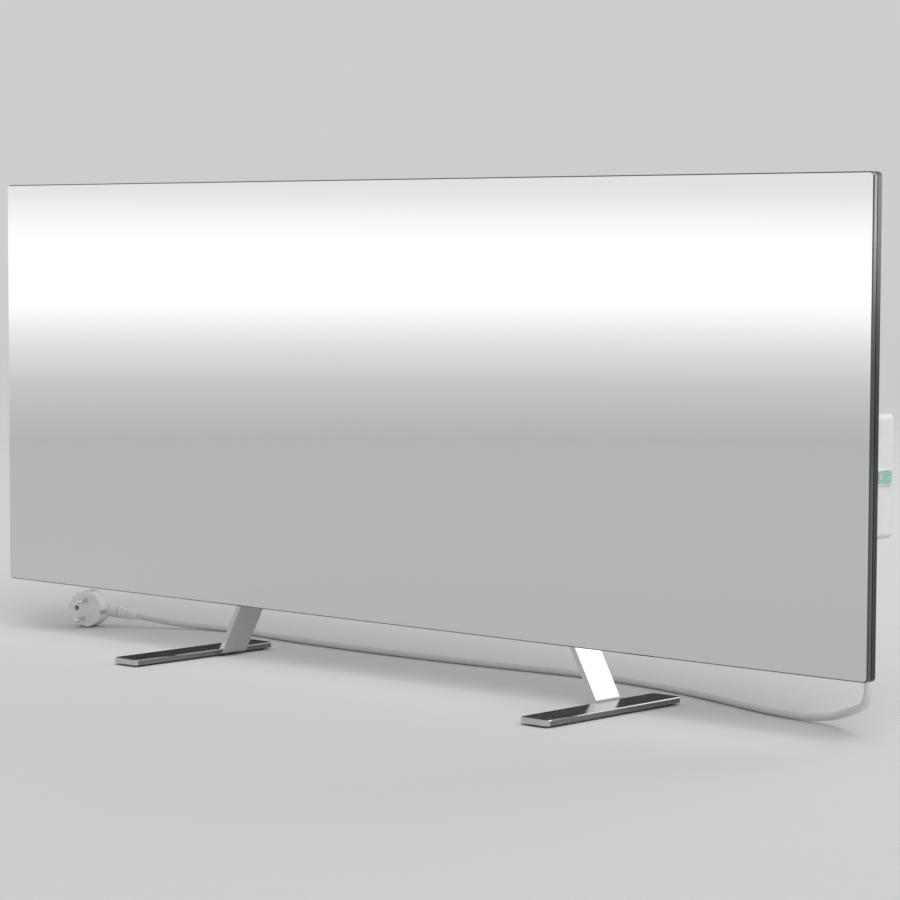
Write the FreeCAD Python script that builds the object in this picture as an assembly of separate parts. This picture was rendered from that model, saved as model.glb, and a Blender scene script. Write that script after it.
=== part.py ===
import FreeCAD, Part
import math
import os

# A free-standing heater: a mirror-finished glass panel on two bent metal feet, with a
# control box behind its right-hand edge and a mains cord that lies along the floor.
# Millimetres. +Z is up and the glass faces -Y. The origin is on the floor, under the
# middle of the panel's width and of the feet's length.

Vector = FreeCAD.Vector
OVERCUT = 1.0
SAME_PLANE = 0.001

# Panel
PANEL_WIDTH = 1050.0
PANEL_HEIGHT = 400.0
PANEL_CORNER_RADIUS = 4.0
GROUND_CLEARANCE = 55.0
GLASS_THICKNESS = 5.0
GLASS_FRONT_ARRIS = 1.0
GLASS_REAR_ARRIS = 0.4

# Frame behind the glass, a channel open towards the middle, and what seals it to the glass
FRAME_DEPTH = 6.0
FRAME_WALL = 1.4
FRAME_LIP = 8.0
FRAME_FLANGE = 14.0
SEAL_THICKNESS = 0.6
SEAL_INSET = 1.0
KEY_LEG = 34.0
KEY_WIDTH = 9.0
KEY_CLEARANCE = 0.2

# Heating film, bus bars and insulation
FILM_MARGIN = 10.0
FILM_THICKNESS = 0.4
BUS_WIDTH = 10.0
BUS_THICKNESS = 0.3
BUS_INSET = 4.0
INSULATION_CLEARANCE = 0.1
INSULATION_EDGE_GAP = 1.5

# Pressed steel back cover
COVER_SHEET = 0.8
RIM_INSET = 3.0
RIM_CORNER_RADIUS = 5.0
PAN_DEPTH = 9.0
PAN_MARGIN = 40.0
PAN_TO_BOX = 14.0
PAN_CORNER_RADIUS = 18.0
PAN_DRAFT = math.radians(30.0)
PAN_EDGE_BEVEL = 1.2
GROOVE_WIDTH = 14.0
GROOVE_DEPTH = 1.5
GROOVE_PITCH = 50.0
GROOVE_COUNT = 3
GROOVE_END_MARGIN = 50.0
RIM_SCREW_INSET = 8.0
RIM_SCREW_END_MARGIN = 60.0
RIM_SCREW_SIDE_MARGIN = 80.0
RIM_SCREWS_PER_LONG_SIDE = 4

# Fasteners
M3_RADIUS = 1.5
M3_HEAD_RADIUS = 2.8
M3_HEAD_HEIGHT = 1.8
HEAD_TAPER = 0.75
M3_CLEARANCE = 0.2
M5_RADIUS = 2.45
M5_HEAD_RADIUS = 4.75
M5_HEAD_HEIGHT = 2.75
M5_SOCKET_ACROSS_FLATS = 3.0
M5_SOCKET_DEPTH = 1.6
M5_CLEARANCE = 0.3
THREAD_CLEARANCE = 0.05
NUT_ACROSS_FLATS = 8.0
NUT_HEIGHT = 4.0
NUT_POCKET_WIDTH = 14.0
RIM_SCREW_LENGTH = 4.2
FOOT_SCREW_LENGTH = 11.0
BOX_SCREW_LENGTH = 28.0

# Wall-hanging points in the back cover
WALL_SPACING_X = 600.0
WALL_SPACING_Z = 200.0

# Feet, each bent from one plate
FOOT_SHEET = 5.0
FOOT_LENGTH = 180.0
FOOT_BASE_WIDTH = 32.0
FOOT_CENTRE_X = 253.3
FOOT_CORNER_RADIUS = 5.0
FOOT_EDGE_BEVEL = 0.8
STRAP_WIDTH = 32.0
STRAP_LEAN = math.radians(29.0)
STRAP_BEND_RADIUS = 6.5
STRAP_TOP_Z = 98.0
STRAP_TOP_BEND_RADIUS = 14.0
FLANGE_BEND_RADIUS = 6.5
FLANGE_WIDTH = 45.0
FLANGE_LOW_Z = 107.0
FLANGE_HEIGHT = 51.0
FLANGE_CORNER_RADIUS = 6.0
FLANGE_SCREW_INSET = 24.0
FLANGE_SCREW_MARGIN = 12.0
PAD_HEIGHT = 2.0
PAD_WIDTH = 24.0
PAD_LENGTH = 26.0
PAD_CORNER_RADIUS = 4.0
PAD_END_MARGIN = 7.0

# Control box
BOX_SIDE_INSET = 7.0
BOX_LIFT = 111.0
BOX_WIDTH = 64.0
BOX_HEIGHT = 99.0
BOX_BASE_DEPTH = 4.2
BOX_COVER_DEPTH = 27.0
BOX_CORNER_RADIUS = 4.5
BOX_EDGE_ROUND = 1.5
BOX_WALL = 2.0
BOX_FLOOR = 2.5
BASE_WALL = 3.2
LIP_HEIGHT = 2.0
LIP_CLEARANCE = 0.15
BOSS_INSET = 7.2
BOSS_RADIUS = 3.6
COUNTERBORE_DEPTH = 2.6
COUNTERBORE_CLEARANCE = 0.3
FIXING_INSET_X = 20.0
FIXING_INSET_Z = 18.0

# Rocker switch in the right-hand side of the box
ROCKER_LENGTH = 15.0
ROCKER_WIDTH = 9.0
ROCKER_END_RISE = 4.6
ROCKER_DISH = 1.0
ROCKER_NECK_LENGTH = 12.4
ROCKER_NECK_DEPTH = 1.5
ROCKER_FOOT_LENGTH = 4.4
ROCKER_FOOT_DEPTH = 4.0
ROCKER_SIDE_CLEARANCE = 0.2
ROCKER_SWING_ROOM = 0.7
ROCKER_FLOOR_ROOM = 1.0
ROCKER_TILT = 9.0
PIVOT_DEPTH = 1.5
PIVOT_RADIUS = 1.0
PIVOT_CLEARANCE = 0.05
PIVOT_END_CLEARANCE = 0.3
SWITCH_WALL = 0.9
SWITCH_DEPTH = 14.0
SWITCH_SETBACK = 11.5
SWITCH_HOLE_CLEARANCE = 0.15
BEZEL_OVERLAP = 1.1
BEZEL_THICKNESS = 1.2
BEZEL_EDGE_ROUND = 0.5
TAB_COUNT = 3
TAB_PITCH = 5.0
TAB_WIDTH = 4.8
TAB_THICKNESS = 0.8
TAB_LENGTH = 8.0

# Terminal block, leads, grommet and cut-out
LEAD_INSET = 18.0
LEAD_RADIUS = 1.2
LEAD_BEND_RADIUS = 3.0
LEAD_CLEARANCE = 0.2
LEAD_CHANNEL_WIDTH = 6.0
POLE_PITCH = 8.0
POLE_COUNT = 3
BLOCK_WIDTH = 24.0
BLOCK_HEIGHT = 8.0
BLOCK_END_WALL = 4.5
TOWER_WIDTH = 6.4
TOWER_HEIGHT = 3.0
TOWER_OFFSET = 6.0
TOWER_SCREW_RADIUS = 1.6
TOWER_SCREW_DEPTH = 5.0
LEAD_ENTRY_DEPTH = 5.0
GROMMET_WALL = 1.4
GROMMET_FLANGE = 2.0
GROMMET_FLANGE_HEIGHT = 1.2
GROMMET_CLEARANCE = 0.1
CUTOUT_WIDTH = 7.0
CUTOUT_HEIGHT = 4.2
CUTOUT_LENGTH = 18.0
CUTOUT_RISE = 110.0

# Cord, its gland and the clamp inside the box
CORD_DIAMETER = 6.5
GLAND_INSET = 17.0
GLAND_DEPTH = 14.0
GLAND_BORE_CLEARANCE = 0.1
GLAND_NECK_RADIUS = 6.0
GLAND_NECK_CLEARANCE = 0.2
GLAND_INNER_FLANGE_RADIUS = 6.8
GLAND_INNER_FLANGE_HEIGHT = 2.0
GLAND_FLANGE_RADIUS = 8.5
GLAND_FLANGE_HEIGHT = 3.0
GLAND_BOOT_LENGTH = 30.0
GLAND_BOOT_TOP_RADIUS = 7.0
GLAND_BOOT_END_RADIUS = 4.8
GLAND_CORE_WALL = 0.9
GLAND_RIB_COUNT = 4
RIB_GROOVE_WIDTH = 1.6
CLAMP_LIFT = 12.0
CLAMP_THICKNESS = 6.0
CLAMP_HALF_WIDTH = 10.0
CLAMP_BAR_HEIGHT = 6.0
CLAMP_GAP = 1.2
CLAMP_SCREW_OFFSET = 7.0
CLAMP_SCREW_LENGTH = 12.0
TAIL_ABOVE_CLAMP = 4.0

# Side-entry plug with two round pins, lying on the floor
PLUG_RADIUS = 18.3
PLUG_INSERT_DEPTH = 17.0
PLUG_COLLAR_RADIUS = 18.9
PLUG_COLLAR_DEPTH = 6.0
PLUG_BACK_RADIUS = 13.5
PLUG_DEPTH = 33.0
PLUG_FACE_BEVEL = 1.2
PLUG_BACK_BEVEL = 4.0
PLUG_BOOT_DEPTH = 24.0
PLUG_BOOT_ROOT_RADIUS = 7.4
PLUG_BOOT_END_RADIUS = 4.6
PLUG_BOOT_START = 6.75
PLUG_BOOT_REACH = 50.0
PLUG_BOOT_RIB_COUNT = 4
PLUG_KEYWAY_WIDTH = 5.0
PLUG_KEYWAY_DEPTH = 1.8
PIN_RADIUS = 2.4
PIN_LENGTH = 19.0
PIN_SPACING = 19.0
PIN_ROOT_RADIUS = 2.0
PIN_ROOT_DEPTH = 8.0
PIN_TIP_LENGTH = 2.0
PIN_TIP_RADIUS = 1.3
EARTH_WIDTH = 4.0
EARTH_THICKNESS = 1.0
EARTH_LENGTH = 14.0
EARTH_SETBACK = 0.4
EARTH_HOLE_RADIUS = 2.6
EARTH_HOLE_DEPTH = 14.0
EARTH_HOLE_OFFSET = 9.0

# Places worked out from the sizes above
SIDE_X = PANEL_WIDTH / 2
LOW_Z = GROUND_CLEARANCE
HIGH_Z = GROUND_CLEARANCE + PANEL_HEIGHT
PANEL_RECT = (-SIDE_X, SIDE_X, LOW_Z, HIGH_Z)

BOX_X1 = SIDE_X - BOX_SIDE_INSET
BOX_X0 = BOX_X1 - BOX_WIDTH
BOX_Z0 = LOW_Z + BOX_LIFT
BOX_Z1 = BOX_Z0 + BOX_HEIGHT
BOX_MID_Z = (BOX_Z0 + BOX_Z1) / 2
BOX_RECT = (BOX_X0, BOX_X1, BOX_Z0, BOX_Z1)
BOX_SEAT_Y = FRAME_DEPTH + COVER_SHEET
BOX_FLOOR_Y = BOX_SEAT_Y + BOX_FLOOR
BOX_SPLIT_Y = BOX_SEAT_Y + BOX_BASE_DEPTH
BOX_REAR_Y = BOX_SPLIT_Y + BOX_COVER_DEPTH

PAN_REAR_Y = FRAME_DEPTH + PAN_DEPTH
PAN_INNER_Y = PAN_REAR_Y - COVER_SHEET
PAN_RECT = (PAN_MARGIN - SIDE_X, BOX_X0 - PAN_TO_BOX, LOW_Z + PAN_MARGIN, HIGH_Z - PAN_MARGIN)
PAN_SLOPE = math.tan(PAN_DRAFT)

FOOT_MID_Z = PAD_HEIGHT + FOOT_SHEET / 2
STRAP_TURN = math.pi / 2 - STRAP_LEAN
STRAP_LOW_X = FOOT_CENTRE_X - FOOT_BASE_WIDTH / 2 - STRAP_BEND_RADIUS * math.tan(STRAP_TURN / 2)
STRAP_TOP_X = STRAP_LOW_X - (STRAP_TOP_Z - FOOT_MID_Z) * math.tan(STRAP_LEAN)
FLANGE_REAR_Y = PAN_REAR_Y + FOOT_SHEET
FLANGE_HIGH_Z = FLANGE_LOW_Z + FLANGE_HEIGHT

SWITCH_Y = BOX_SPLIT_Y + SWITCH_SETBACK
SWITCH_Z = BOX_MID_Z
PIVOT_X = BOX_X1 - PIVOT_DEPTH
CAVITY_HALF_LENGTH = ROCKER_LENGTH / 2 + ROCKER_SWING_ROOM
CAVITY_HALF_WIDTH = ROCKER_WIDTH / 2 + ROCKER_SIDE_CLEARANCE
SWITCH_HALF_LENGTH = CAVITY_HALF_LENGTH + SWITCH_WALL
SWITCH_HALF_WIDTH = CAVITY_HALF_WIDTH + SWITCH_WALL

LEAD_X = BOX_X0 + LEAD_INSET
LEAD_Y = FILM_THICKNESS + BUS_THICKNESS + LEAD_RADIUS + THREAD_CLEARANCE
LEAD_END_Y = BOX_FLOOR_Y + LEAD_ENTRY_DEPTH - LEAD_CLEARANCE
POLE_HEIGHTS = [BOX_MID_Z + POLE_PITCH * (0.5 - index) for index in range(POLE_COUNT)]
BUS_RECT = (
    FILM_MARGIN + BUS_INSET - SIDE_X,
    SIDE_X - FILM_MARGIN - BUS_INSET,
    LOW_Z + FILM_MARGIN + BUS_INSET,
    HIGH_Z - FILM_MARGIN - BUS_INSET,
)
GROMMET_BORE = POLE_PITCH / 2 + LEAD_RADIUS + LEAD_CLEARANCE * 2
GROMMET_NECK = GROMMET_BORE + GROMMET_WALL
GROMMET_RADIUS = GROMMET_NECK + GROMMET_FLANGE
CUTOUT_LOW_Z = BOX_MID_Z + CUTOUT_RISE
CUTOUT_REAR_Y = FILM_THICKNESS + CUTOUT_HEIGHT

CORD_RADIUS = CORD_DIAMETER / 2
GLAND_X = BOX_X1 - GLAND_INSET
GLAND_Y = BOX_SPLIT_Y + GLAND_DEPTH
GLAND_BORE = CORD_RADIUS + GLAND_BORE_CLEARANCE
GLAND_END_Z = BOX_Z0 - GLAND_FLANGE_HEIGHT - GLAND_BOOT_LENGTH
CLAMP_LOW_Z = BOX_Z0 + CLAMP_LIFT
CLAMP_HIGH_Z = CLAMP_LOW_Z + CLAMP_THICKNESS
CLAMP_BAR_Y = GLAND_Y + CLAMP_BAR_HEIGHT

# The cord drops from its gland, bends away along the floor and rises into the plug.
CORD_ROUTE = [
    Vector(GLAND_X, GLAND_Y, GLAND_END_Z),
    Vector(GLAND_X, GLAND_Y, GLAND_END_Z - 38.0),
    Vector(506.5, 27.5, 34.0),
    Vector(462.0, 66.0, 17.5),
    Vector(418.0, 90.0, 4.2),
    Vector(365.0, 93.0, 3.4),
    Vector(275.0, 125.0, 3.4),
    Vector(190.0, 147.0, 3.4),
    Vector(105.0, 153.0, 3.4),
    Vector(20.0, 143.5, 3.4),
    Vector(-70.0, 136.5, 3.4),
    Vector(-160.0, 134.0, 3.4),
    Vector(-250.0, 136.0, 3.4),
    Vector(-335.0, 146.5, 3.4),
    Vector(-385.0, 144.0, 3.4),
    Vector(-422.7, 126.7, 5.0),
    Vector(-458.5, 110.0, 11.2),
]
CORD_ARC_SHARE = 0.45


# Shapes that several pieces share

def upright(y):
    """Places outline points in the vertical plane at depth y."""
    return lambda x, z: Vector(x, y, z)


def level(z):
    """Places outline points in the horizontal plane at height z."""
    return lambda x, y: Vector(x, y, z)


def inset(rect, distance):
    """The rectangle drawn in by the same distance on all four sides."""
    a0, a1, b0, b1 = rect
    return (a0 + distance, a1 - distance, b0 + distance, b1 - distance)


def rounded_outline(rect, radius, place):
    """Closed wire of a rectangle with round corners."""
    a0, a1, b0, b1 = rect
    bulge = radius * (1 - math.sqrt(0.5))
    corners = [(a1, b0, -1, 1), (a1, b1, -1, -1), (a0, b1, 1, -1), (a0, b0, 1, 1)]
    arcs = []
    for index, (a, b, step_a, step_b) in enumerate(corners):
        along_a = place(a + step_a * radius, b)
        along_b = place(a, b + step_b * radius)
        middle = place(a + step_a * bulge, b + step_b * bulge)
        ends = (along_a, along_b) if index % 2 == 0 else (along_b, along_a)
        arcs.append((ends[0], middle, ends[1]))
    edges = []
    for arc, following in zip(arcs, arcs[1:] + arcs[:1]):
        edges.append(Part.Arc(*arc).toShape())
        edges.append(Part.LineSegment(arc[2], following[0]).toShape())
    return Part.Wire(edges)


def upright_plate(rect, y0, y1, radius):
    """A plate parallel to the glass, with round corners."""
    face = Part.Face(rounded_outline(rect, radius, upright(y0)))
    return face.extrude(Vector(0, y1 - y0, 0))


def level_plate(rect, z0, z1, radius):
    """A plate parallel to the floor, with round corners."""
    face = Part.Face(rounded_outline(rect, radius, level(z0)))
    return face.extrude(Vector(0, 0, z1 - z0))


def block(x0, x1, y0, y1, z0, z1):
    """A plain box between two corners."""
    return Part.makeBox(x1 - x0, y1 - y0, z1 - z0, Vector(x0, y0, z0))


def rod_y(radius, x, z, y0, y1):
    """A cylinder that runs from front to back."""
    return Part.makeCylinder(radius, y1 - y0, Vector(x, y0, z), Vector(0, 1, 0))


def post_y(width, x, z, y0, y1):
    """A square bar that runs from front to back."""
    left, right, low, high = inset((x, x, z, z), -width / 2)
    return block(left, right, y0, y1, low, high)


def rod_z(radius, x, y, z0, z1):
    """An upright cylinder."""
    return Part.makeCylinder(radius, z1 - z0, Vector(x, y, z0), Vector(0, 0, 1))


def edges_in_plane(shape, axis, value):
    """Edges that lie wholly in one plane square to an axis."""
    found = []
    for edge in shape.Edges:
        bounds = edge.BoundBox
        low = getattr(bounds, axis + "Min")
        high = getattr(bounds, axis + "Max")
        if abs(low - value) < SAME_PLANE and abs(high - value) < SAME_PLANE:
            found.append(edge)
    return found


def bend(before, corner, after, radius):
    """Start, middle and end of the arc that rounds one corner of a path."""
    back = (before - corner).normalize()
    onward = (after - corner).normalize()
    half_angle = back.getAngle(onward) / 2
    reach = radius / math.tan(half_angle)
    to_centre = (back + onward).normalize()
    middle = corner + to_centre * (radius / math.sin(half_angle) - radius)
    return corner + back * reach, middle, corner + onward * reach


def rounded_path(points, radii):
    """Straight runs joined by tangent arcs, one radius for each inner point."""
    edges = []
    last = points[0]
    for before, corner, after, radius in zip(points, points[1:], points[2:], radii):
        start, middle, end = bend(before, corner, after, radius)
        edges.append(Part.LineSegment(last, start).toShape())
        edges.append(Part.Arc(start, middle, end).toShape())
        last = end
    edges.append(Part.LineSegment(last, points[-1]).toShape())
    return Part.Wire(edges)


def bent_sheet(points, radii, thickness, width, across):
    """A strip of sheet that follows a flat path, its width centred on the path."""
    path = rounded_path(points, radii)
    forward = (points[1] - points[0]).normalize()
    half_thickness = forward.cross(across) * (thickness / 2)
    half_width = across * (width / 2)
    start = points[0]
    corners = [
        start + half_thickness + half_width,
        start + half_thickness - half_width,
        start - half_thickness - half_width,
        start - half_thickness + half_width,
    ]
    section = Part.makePolygon(corners + corners[:1])
    return path.makePipeShell([section], True, False)


def tube(points, radii, radius):
    """A round tube along a path, checked by its volume; also gives its length."""
    path = rounded_path(points, radii)
    forward = (points[1] - points[0]).normalize()
    section = Part.Wire(Part.makeCircle(radius, points[0], forward))
    solid = path.makePipeShell([section], True, False)
    expected = math.pi * radius ** 2 * path.Length
    print(f"tube: length {path.Length:.1f}, volume over section x length {solid.Volume / expected:.5f}")
    return solid, path.Length


def turned(profile):
    """A solid turned about the Z axis from (radius, height) points."""
    points = [Vector(radius, 0, height) for radius, height in profile]
    face = Part.Face(Part.makePolygon(points + points[:1]))
    return face.revolve(Vector(0, 0, 0), Vector(0, 0, 1), 360)


def ribbed_boot(root_radius, end_radius, length, core_radius, rib_count):
    """A bend protector: a cone from the origin along +Z, grooved down to a thin core."""
    cone = Part.makeCone(root_radius, end_radius, length)
    pitch = length / rib_count
    for index in range(1, rib_count):
        low = index * pitch - RIB_GROOVE_WIDTH / 2
        ring = Part.makeCylinder(root_radius + OVERCUT, RIB_GROOVE_WIDTH, Vector(0, 0, low))
        core = Part.makeCylinder(core_radius, RIB_GROOVE_WIDTH, Vector(0, 0, low))
        cone = cone.cut(ring.cut(core))
    return cone


def screw_y(x, z, seat_y, length, shank_radius, head_radius, head_height):
    """A screw driven in from behind, its tapered head standing on seat_y."""
    seat = Vector(x, seat_y, z)
    head = Part.makeCone(head_radius, head_radius * HEAD_TAPER, head_height, seat, Vector(0, 1, 0))
    shank = rod_y(shank_radius, x, z, seat_y - length, seat_y)
    return head.fuse(shank).removeSplitter()


def m3_screw(x, z, seat_y, length):
    """A small screw."""
    return screw_y(x, z, seat_y, length, M3_RADIUS, M3_HEAD_RADIUS, M3_HEAD_HEIGHT)


def hexagon_y(across_flats, x, z, y0, y1):
    """A six-sided bar that runs from front to back."""
    corner_radius = across_flats / math.sqrt(3)
    corners = []
    for index in range(6):
        angle = math.radians(60 * index)
        corners.append(Vector(x + corner_radius * math.cos(angle), y0, z + corner_radius * math.sin(angle)))
    face = Part.Face(Part.makePolygon(corners + corners[:1]))
    return face.extrude(Vector(0, y1 - y0, 0))


# Places that several pieces share

def spread(low, high, count):
    """Evenly spaced values from low to high."""
    return [low + (high - low) * index / (count - 1) for index in range(count)]


def rim_screw_points():
    """Screws along the frame's flange, clear of the corners and of the control box."""
    rect = inset(PANEL_RECT, RIM_SCREW_INSET)
    end = SIDE_X - RIM_SCREW_END_MARGIN
    points = []
    for z in rect[2:]:
        points += [(x, z) for x in spread(-end, end, RIM_SCREWS_PER_LONG_SIDE)]
    for x in rect[:2]:
        points += [(x, LOW_Z + RIM_SCREW_SIDE_MARGIN), (x, HIGH_Z - RIM_SCREW_SIDE_MARGIN)]
    return points


def foot_screw_points():
    """Two screws in the flange of each foot."""
    x = STRAP_TOP_X - FLANGE_SCREW_INSET
    heights = (FLANGE_LOW_Z + FLANGE_SCREW_MARGIN, FLANGE_HIGH_Z - FLANGE_SCREW_MARGIN)
    return [(side * x, z) for side in (1, -1) for z in heights]


def wall_points():
    """The four points that the panel can hang from instead of standing."""
    mid_z = (LOW_Z + HIGH_Z) / 2
    return [
        (side * WALL_SPACING_X / 2, mid_z + rise * WALL_SPACING_Z / 2)
        for side in (1, -1)
        for rise in (1, -1)
    ]


def box_screw_points():
    """The four corner screws of the control box."""
    x0, x1, z0, z1 = inset(BOX_RECT, BOSS_INSET)
    return [(x0, z0), (x0, z1), (x1, z0), (x1, z1)]


def box_fixing_points():
    """Two screws inside the box that hold its base to the back cover."""
    x = BOX_X0 + FIXING_INSET_X
    return [(x, BOX_Z0 + FIXING_INSET_Z), (x, BOX_Z1 - FIXING_INSET_Z)]


def terminal_screw_points():
    """Two clamping screws for each pole of the terminal block."""
    return [(LEAD_X + side * TOWER_OFFSET, z) for side in (1, -1) for z in POLE_HEIGHTS]


# Panel

def front_glass():
    """Toughened glass with small corner radii and ground edges."""
    glass = upright_plate(PANEL_RECT, -GLASS_THICKNESS, 0, PANEL_CORNER_RADIUS)
    glass = glass.makeChamfer(GLASS_FRONT_ARRIS, edges_in_plane(glass, "Y", -GLASS_THICKNESS))
    return glass.makeChamfer(GLASS_REAR_ARRIS, edges_in_plane(glass, "Y", 0))


def glass_seal():
    """Flat bead of silicone between the glass and the front lip of the frame."""
    outer = upright_plate(inset(PANEL_RECT, SEAL_INSET), 0, SEAL_THICKNESS, PANEL_CORNER_RADIUS - SEAL_INSET)
    a0, a1, b0, b1 = inset(PANEL_RECT, FRAME_LIP)
    return outer.cut(block(a0, a1, -OVERCUT, FRAME_DEPTH, b0, b1))


def heating_film():
    """Thin heating film bonded to the back of the glass."""
    x0, x1, z0, z1 = inset(PANEL_RECT, FILM_MARGIN)
    return block(x0, x1, 0, FILM_THICKNESS, z0, z1)


def bus_bars():
    """Copper strips along the upper and lower edges of the film."""
    x0, x1, z0, z1 = BUS_RECT
    rear = FILM_THICKNESS + BUS_THICKNESS
    low = block(x0, x1, FILM_THICKNESS, rear, z0, z0 + BUS_WIDTH)
    high = block(x0, x1, FILM_THICKNESS, rear, z1 - BUS_WIDTH, z1)
    return Part.makeCompound([low, high])


def frame_profile(place):
    """Channel section: a lip behind the glass, an outer wall and a flange for the cover."""
    lip_rear = SEAL_THICKNESS + FRAME_WALL
    flange_front = FRAME_DEPTH - FRAME_WALL
    corners = [
        (0, SEAL_THICKNESS),
        (FRAME_LIP, SEAL_THICKNESS),
        (FRAME_LIP, lip_rear),
        (FRAME_WALL, lip_rear),
        (FRAME_WALL, flange_front),
        (FRAME_FLANGE, flange_front),
        (FRAME_FLANGE, FRAME_DEPTH),
        (0, FRAME_DEPTH),
    ]
    points = [place(inward, depth) for inward, depth in corners]
    return Part.Face(Part.makePolygon(points + points[:1]))


def mitre_wedge(corners):
    """The part of the frame that one bar fills, between two mitred corners."""
    points = [Vector(x, -OVERCUT, z) for x, z in corners]
    face = Part.Face(Part.makePolygon(points + points[:1]))
    return face.extrude(Vector(0, FRAME_DEPTH + 2 * OVERCUT, 0))


def finish_bar(bar, corners):
    """Cuts the mitres, rounds the panel's corners and drills the screw holes."""
    bar = bar.common(mitre_wedge(corners))
    bar = bar.common(upright_plate(PANEL_RECT, 0, FRAME_DEPTH, PANEL_CORNER_RADIUS))
    for x, z in rim_screw_points():
        bar = bar.cut(rod_y(M3_RADIUS + THREAD_CLEARANCE, x, z, FRAME_DEPTH / 2, FRAME_DEPTH + OVERCUT))
    return bar


def level_bar(z, upward):
    """The frame's lower bar, or its upper one, where inward points down."""
    inner_x = SIDE_X - FRAME_FLANGE
    inner_z = z + upward * FRAME_FLANGE
    profile = frame_profile(lambda inward, depth: Vector(-SIDE_X, depth, z + upward * inward))
    bar = profile.extrude(Vector(PANEL_WIDTH, 0, 0))
    return finish_bar(bar, [(-SIDE_X, z), (SIDE_X, z), (inner_x, inner_z), (-inner_x, inner_z)])


def side_bar(x, rightward):
    """The frame's left-hand bar, or its right-hand one, where inward points left."""
    inner_x = x + rightward * FRAME_FLANGE
    inner_z0 = LOW_Z + FRAME_FLANGE
    inner_z1 = HIGH_Z - FRAME_FLANGE
    profile = frame_profile(lambda inward, depth: Vector(x + rightward * inward, depth, LOW_Z))
    bar = profile.extrude(Vector(0, 0, PANEL_HEIGHT))
    return finish_bar(bar, [(x, LOW_Z), (x, HIGH_Z), (inner_x, inner_z1), (inner_x, inner_z0)])


def corner_keys():
    """Flat angle pieces that join the frame's bars inside their channels."""
    front = SEAL_THICKNESS + FRAME_WALL + KEY_CLEARANCE
    rear = FRAME_DEPTH - FRAME_WALL - KEY_CLEARANCE
    x0, x1, z0, z1 = inset(PANEL_RECT, FRAME_WALL + KEY_CLEARANCE)
    keys = []
    for x, right in ((x0, 1), (x1, -1)):
        for z, up in ((z0, 1), (z1, -1)):
            corners = [(0, 0), (KEY_LEG, 0), (KEY_LEG, KEY_WIDTH)]
            corners += [(KEY_WIDTH, KEY_WIDTH), (KEY_WIDTH, KEY_LEG), (0, KEY_LEG)]
            points = [Vector(x + right * a, front, z + up * b) for a, b in corners]
            face = Part.Face(Part.makePolygon(points + points[:1]))
            keys.append(face.extrude(Vector(0, rear - front, 0)))
    return Part.makeCompound(keys)


def drafted_pan(y0, y1, offset):
    """The pan's tapered form between two depths, drawn in from its outside by an offset."""
    wires = []
    for y in (y0, y1):
        drawn_in = offset + (y - FRAME_DEPTH) * PAN_SLOPE
        radius = PAN_CORNER_RADIUS - drawn_in
        wires.append(rounded_outline(inset(PAN_RECT, drawn_in), radius, upright(y)))
    return Part.makeLoft(wires, True, True)


def groove_rects():
    """The long stiffening grooves pressed into the pan."""
    mid_z = (PAN_RECT[2] + PAN_RECT[3]) / 2
    first = mid_z - GROOVE_PITCH * (GROOVE_COUNT - 1) / 2
    rects = []
    for index in range(GROOVE_COUNT):
        z = first + index * GROOVE_PITCH
        x0 = PAN_RECT[0] + GROOVE_END_MARGIN
        x1 = PAN_RECT[1] - GROOVE_END_MARGIN
        rects.append((x0, x1, z - GROOVE_WIDTH / 2, z + GROOVE_WIDTH / 2))
    return rects


def back_cover():
    """Pressed sheet: a flat rim on the frame and a tapered pan with stiffening grooves."""
    rim = upright_plate(inset(PANEL_RECT, RIM_INSET), FRAME_DEPTH, BOX_SEAT_Y, RIM_CORNER_RADIUS)
    pan = drafted_pan(FRAME_DEPTH, PAN_REAR_Y, 0)
    pan = pan.makeChamfer(PAN_EDGE_BEVEL, edges_in_plane(pan, "Y", PAN_REAR_Y))
    cover = rim.fuse(pan)
    cover = cover.cut(drafted_pan(FRAME_DEPTH - OVERCUT, PAN_INNER_Y, COVER_SHEET / math.cos(PAN_DRAFT)))
    end_radius = GROOVE_WIDTH / 2 - SAME_PLANE
    for rect in groove_rects():
        around = inset(rect, -COVER_SHEET)
        floor = upright_plate(around, PAN_INNER_Y - GROOVE_DEPTH, PAN_INNER_Y, end_radius + COVER_SHEET)
        cover = cover.fuse(floor)
        cover = cover.cut(upright_plate(rect, PAN_REAR_Y - GROOVE_DEPTH, PAN_REAR_Y + OVERCUT, end_radius))
    for x, z in foot_screw_points() + wall_points():
        cover = cover.cut(rod_y(M5_RADIUS + M5_CLEARANCE, x, z, PAN_INNER_Y - OVERCUT, PAN_REAR_Y + OVERCUT))
    for x, z in rim_screw_points():
        cover = cover.cut(rod_y(M3_RADIUS + M3_CLEARANCE, x, z, 0, PAN_REAR_Y))
    for x, z in box_fixing_points():
        cover = cover.cut(rod_y(M3_RADIUS + THREAD_CLEARANCE, x, z, 0, PAN_REAR_Y))
    lead_hole = rod_y(GROMMET_NECK + GROMMET_CLEARANCE, LEAD_X, BOX_MID_Z, 0, PAN_REAR_Y)
    return cover.cut(lead_hole).removeSplitter()


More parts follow.
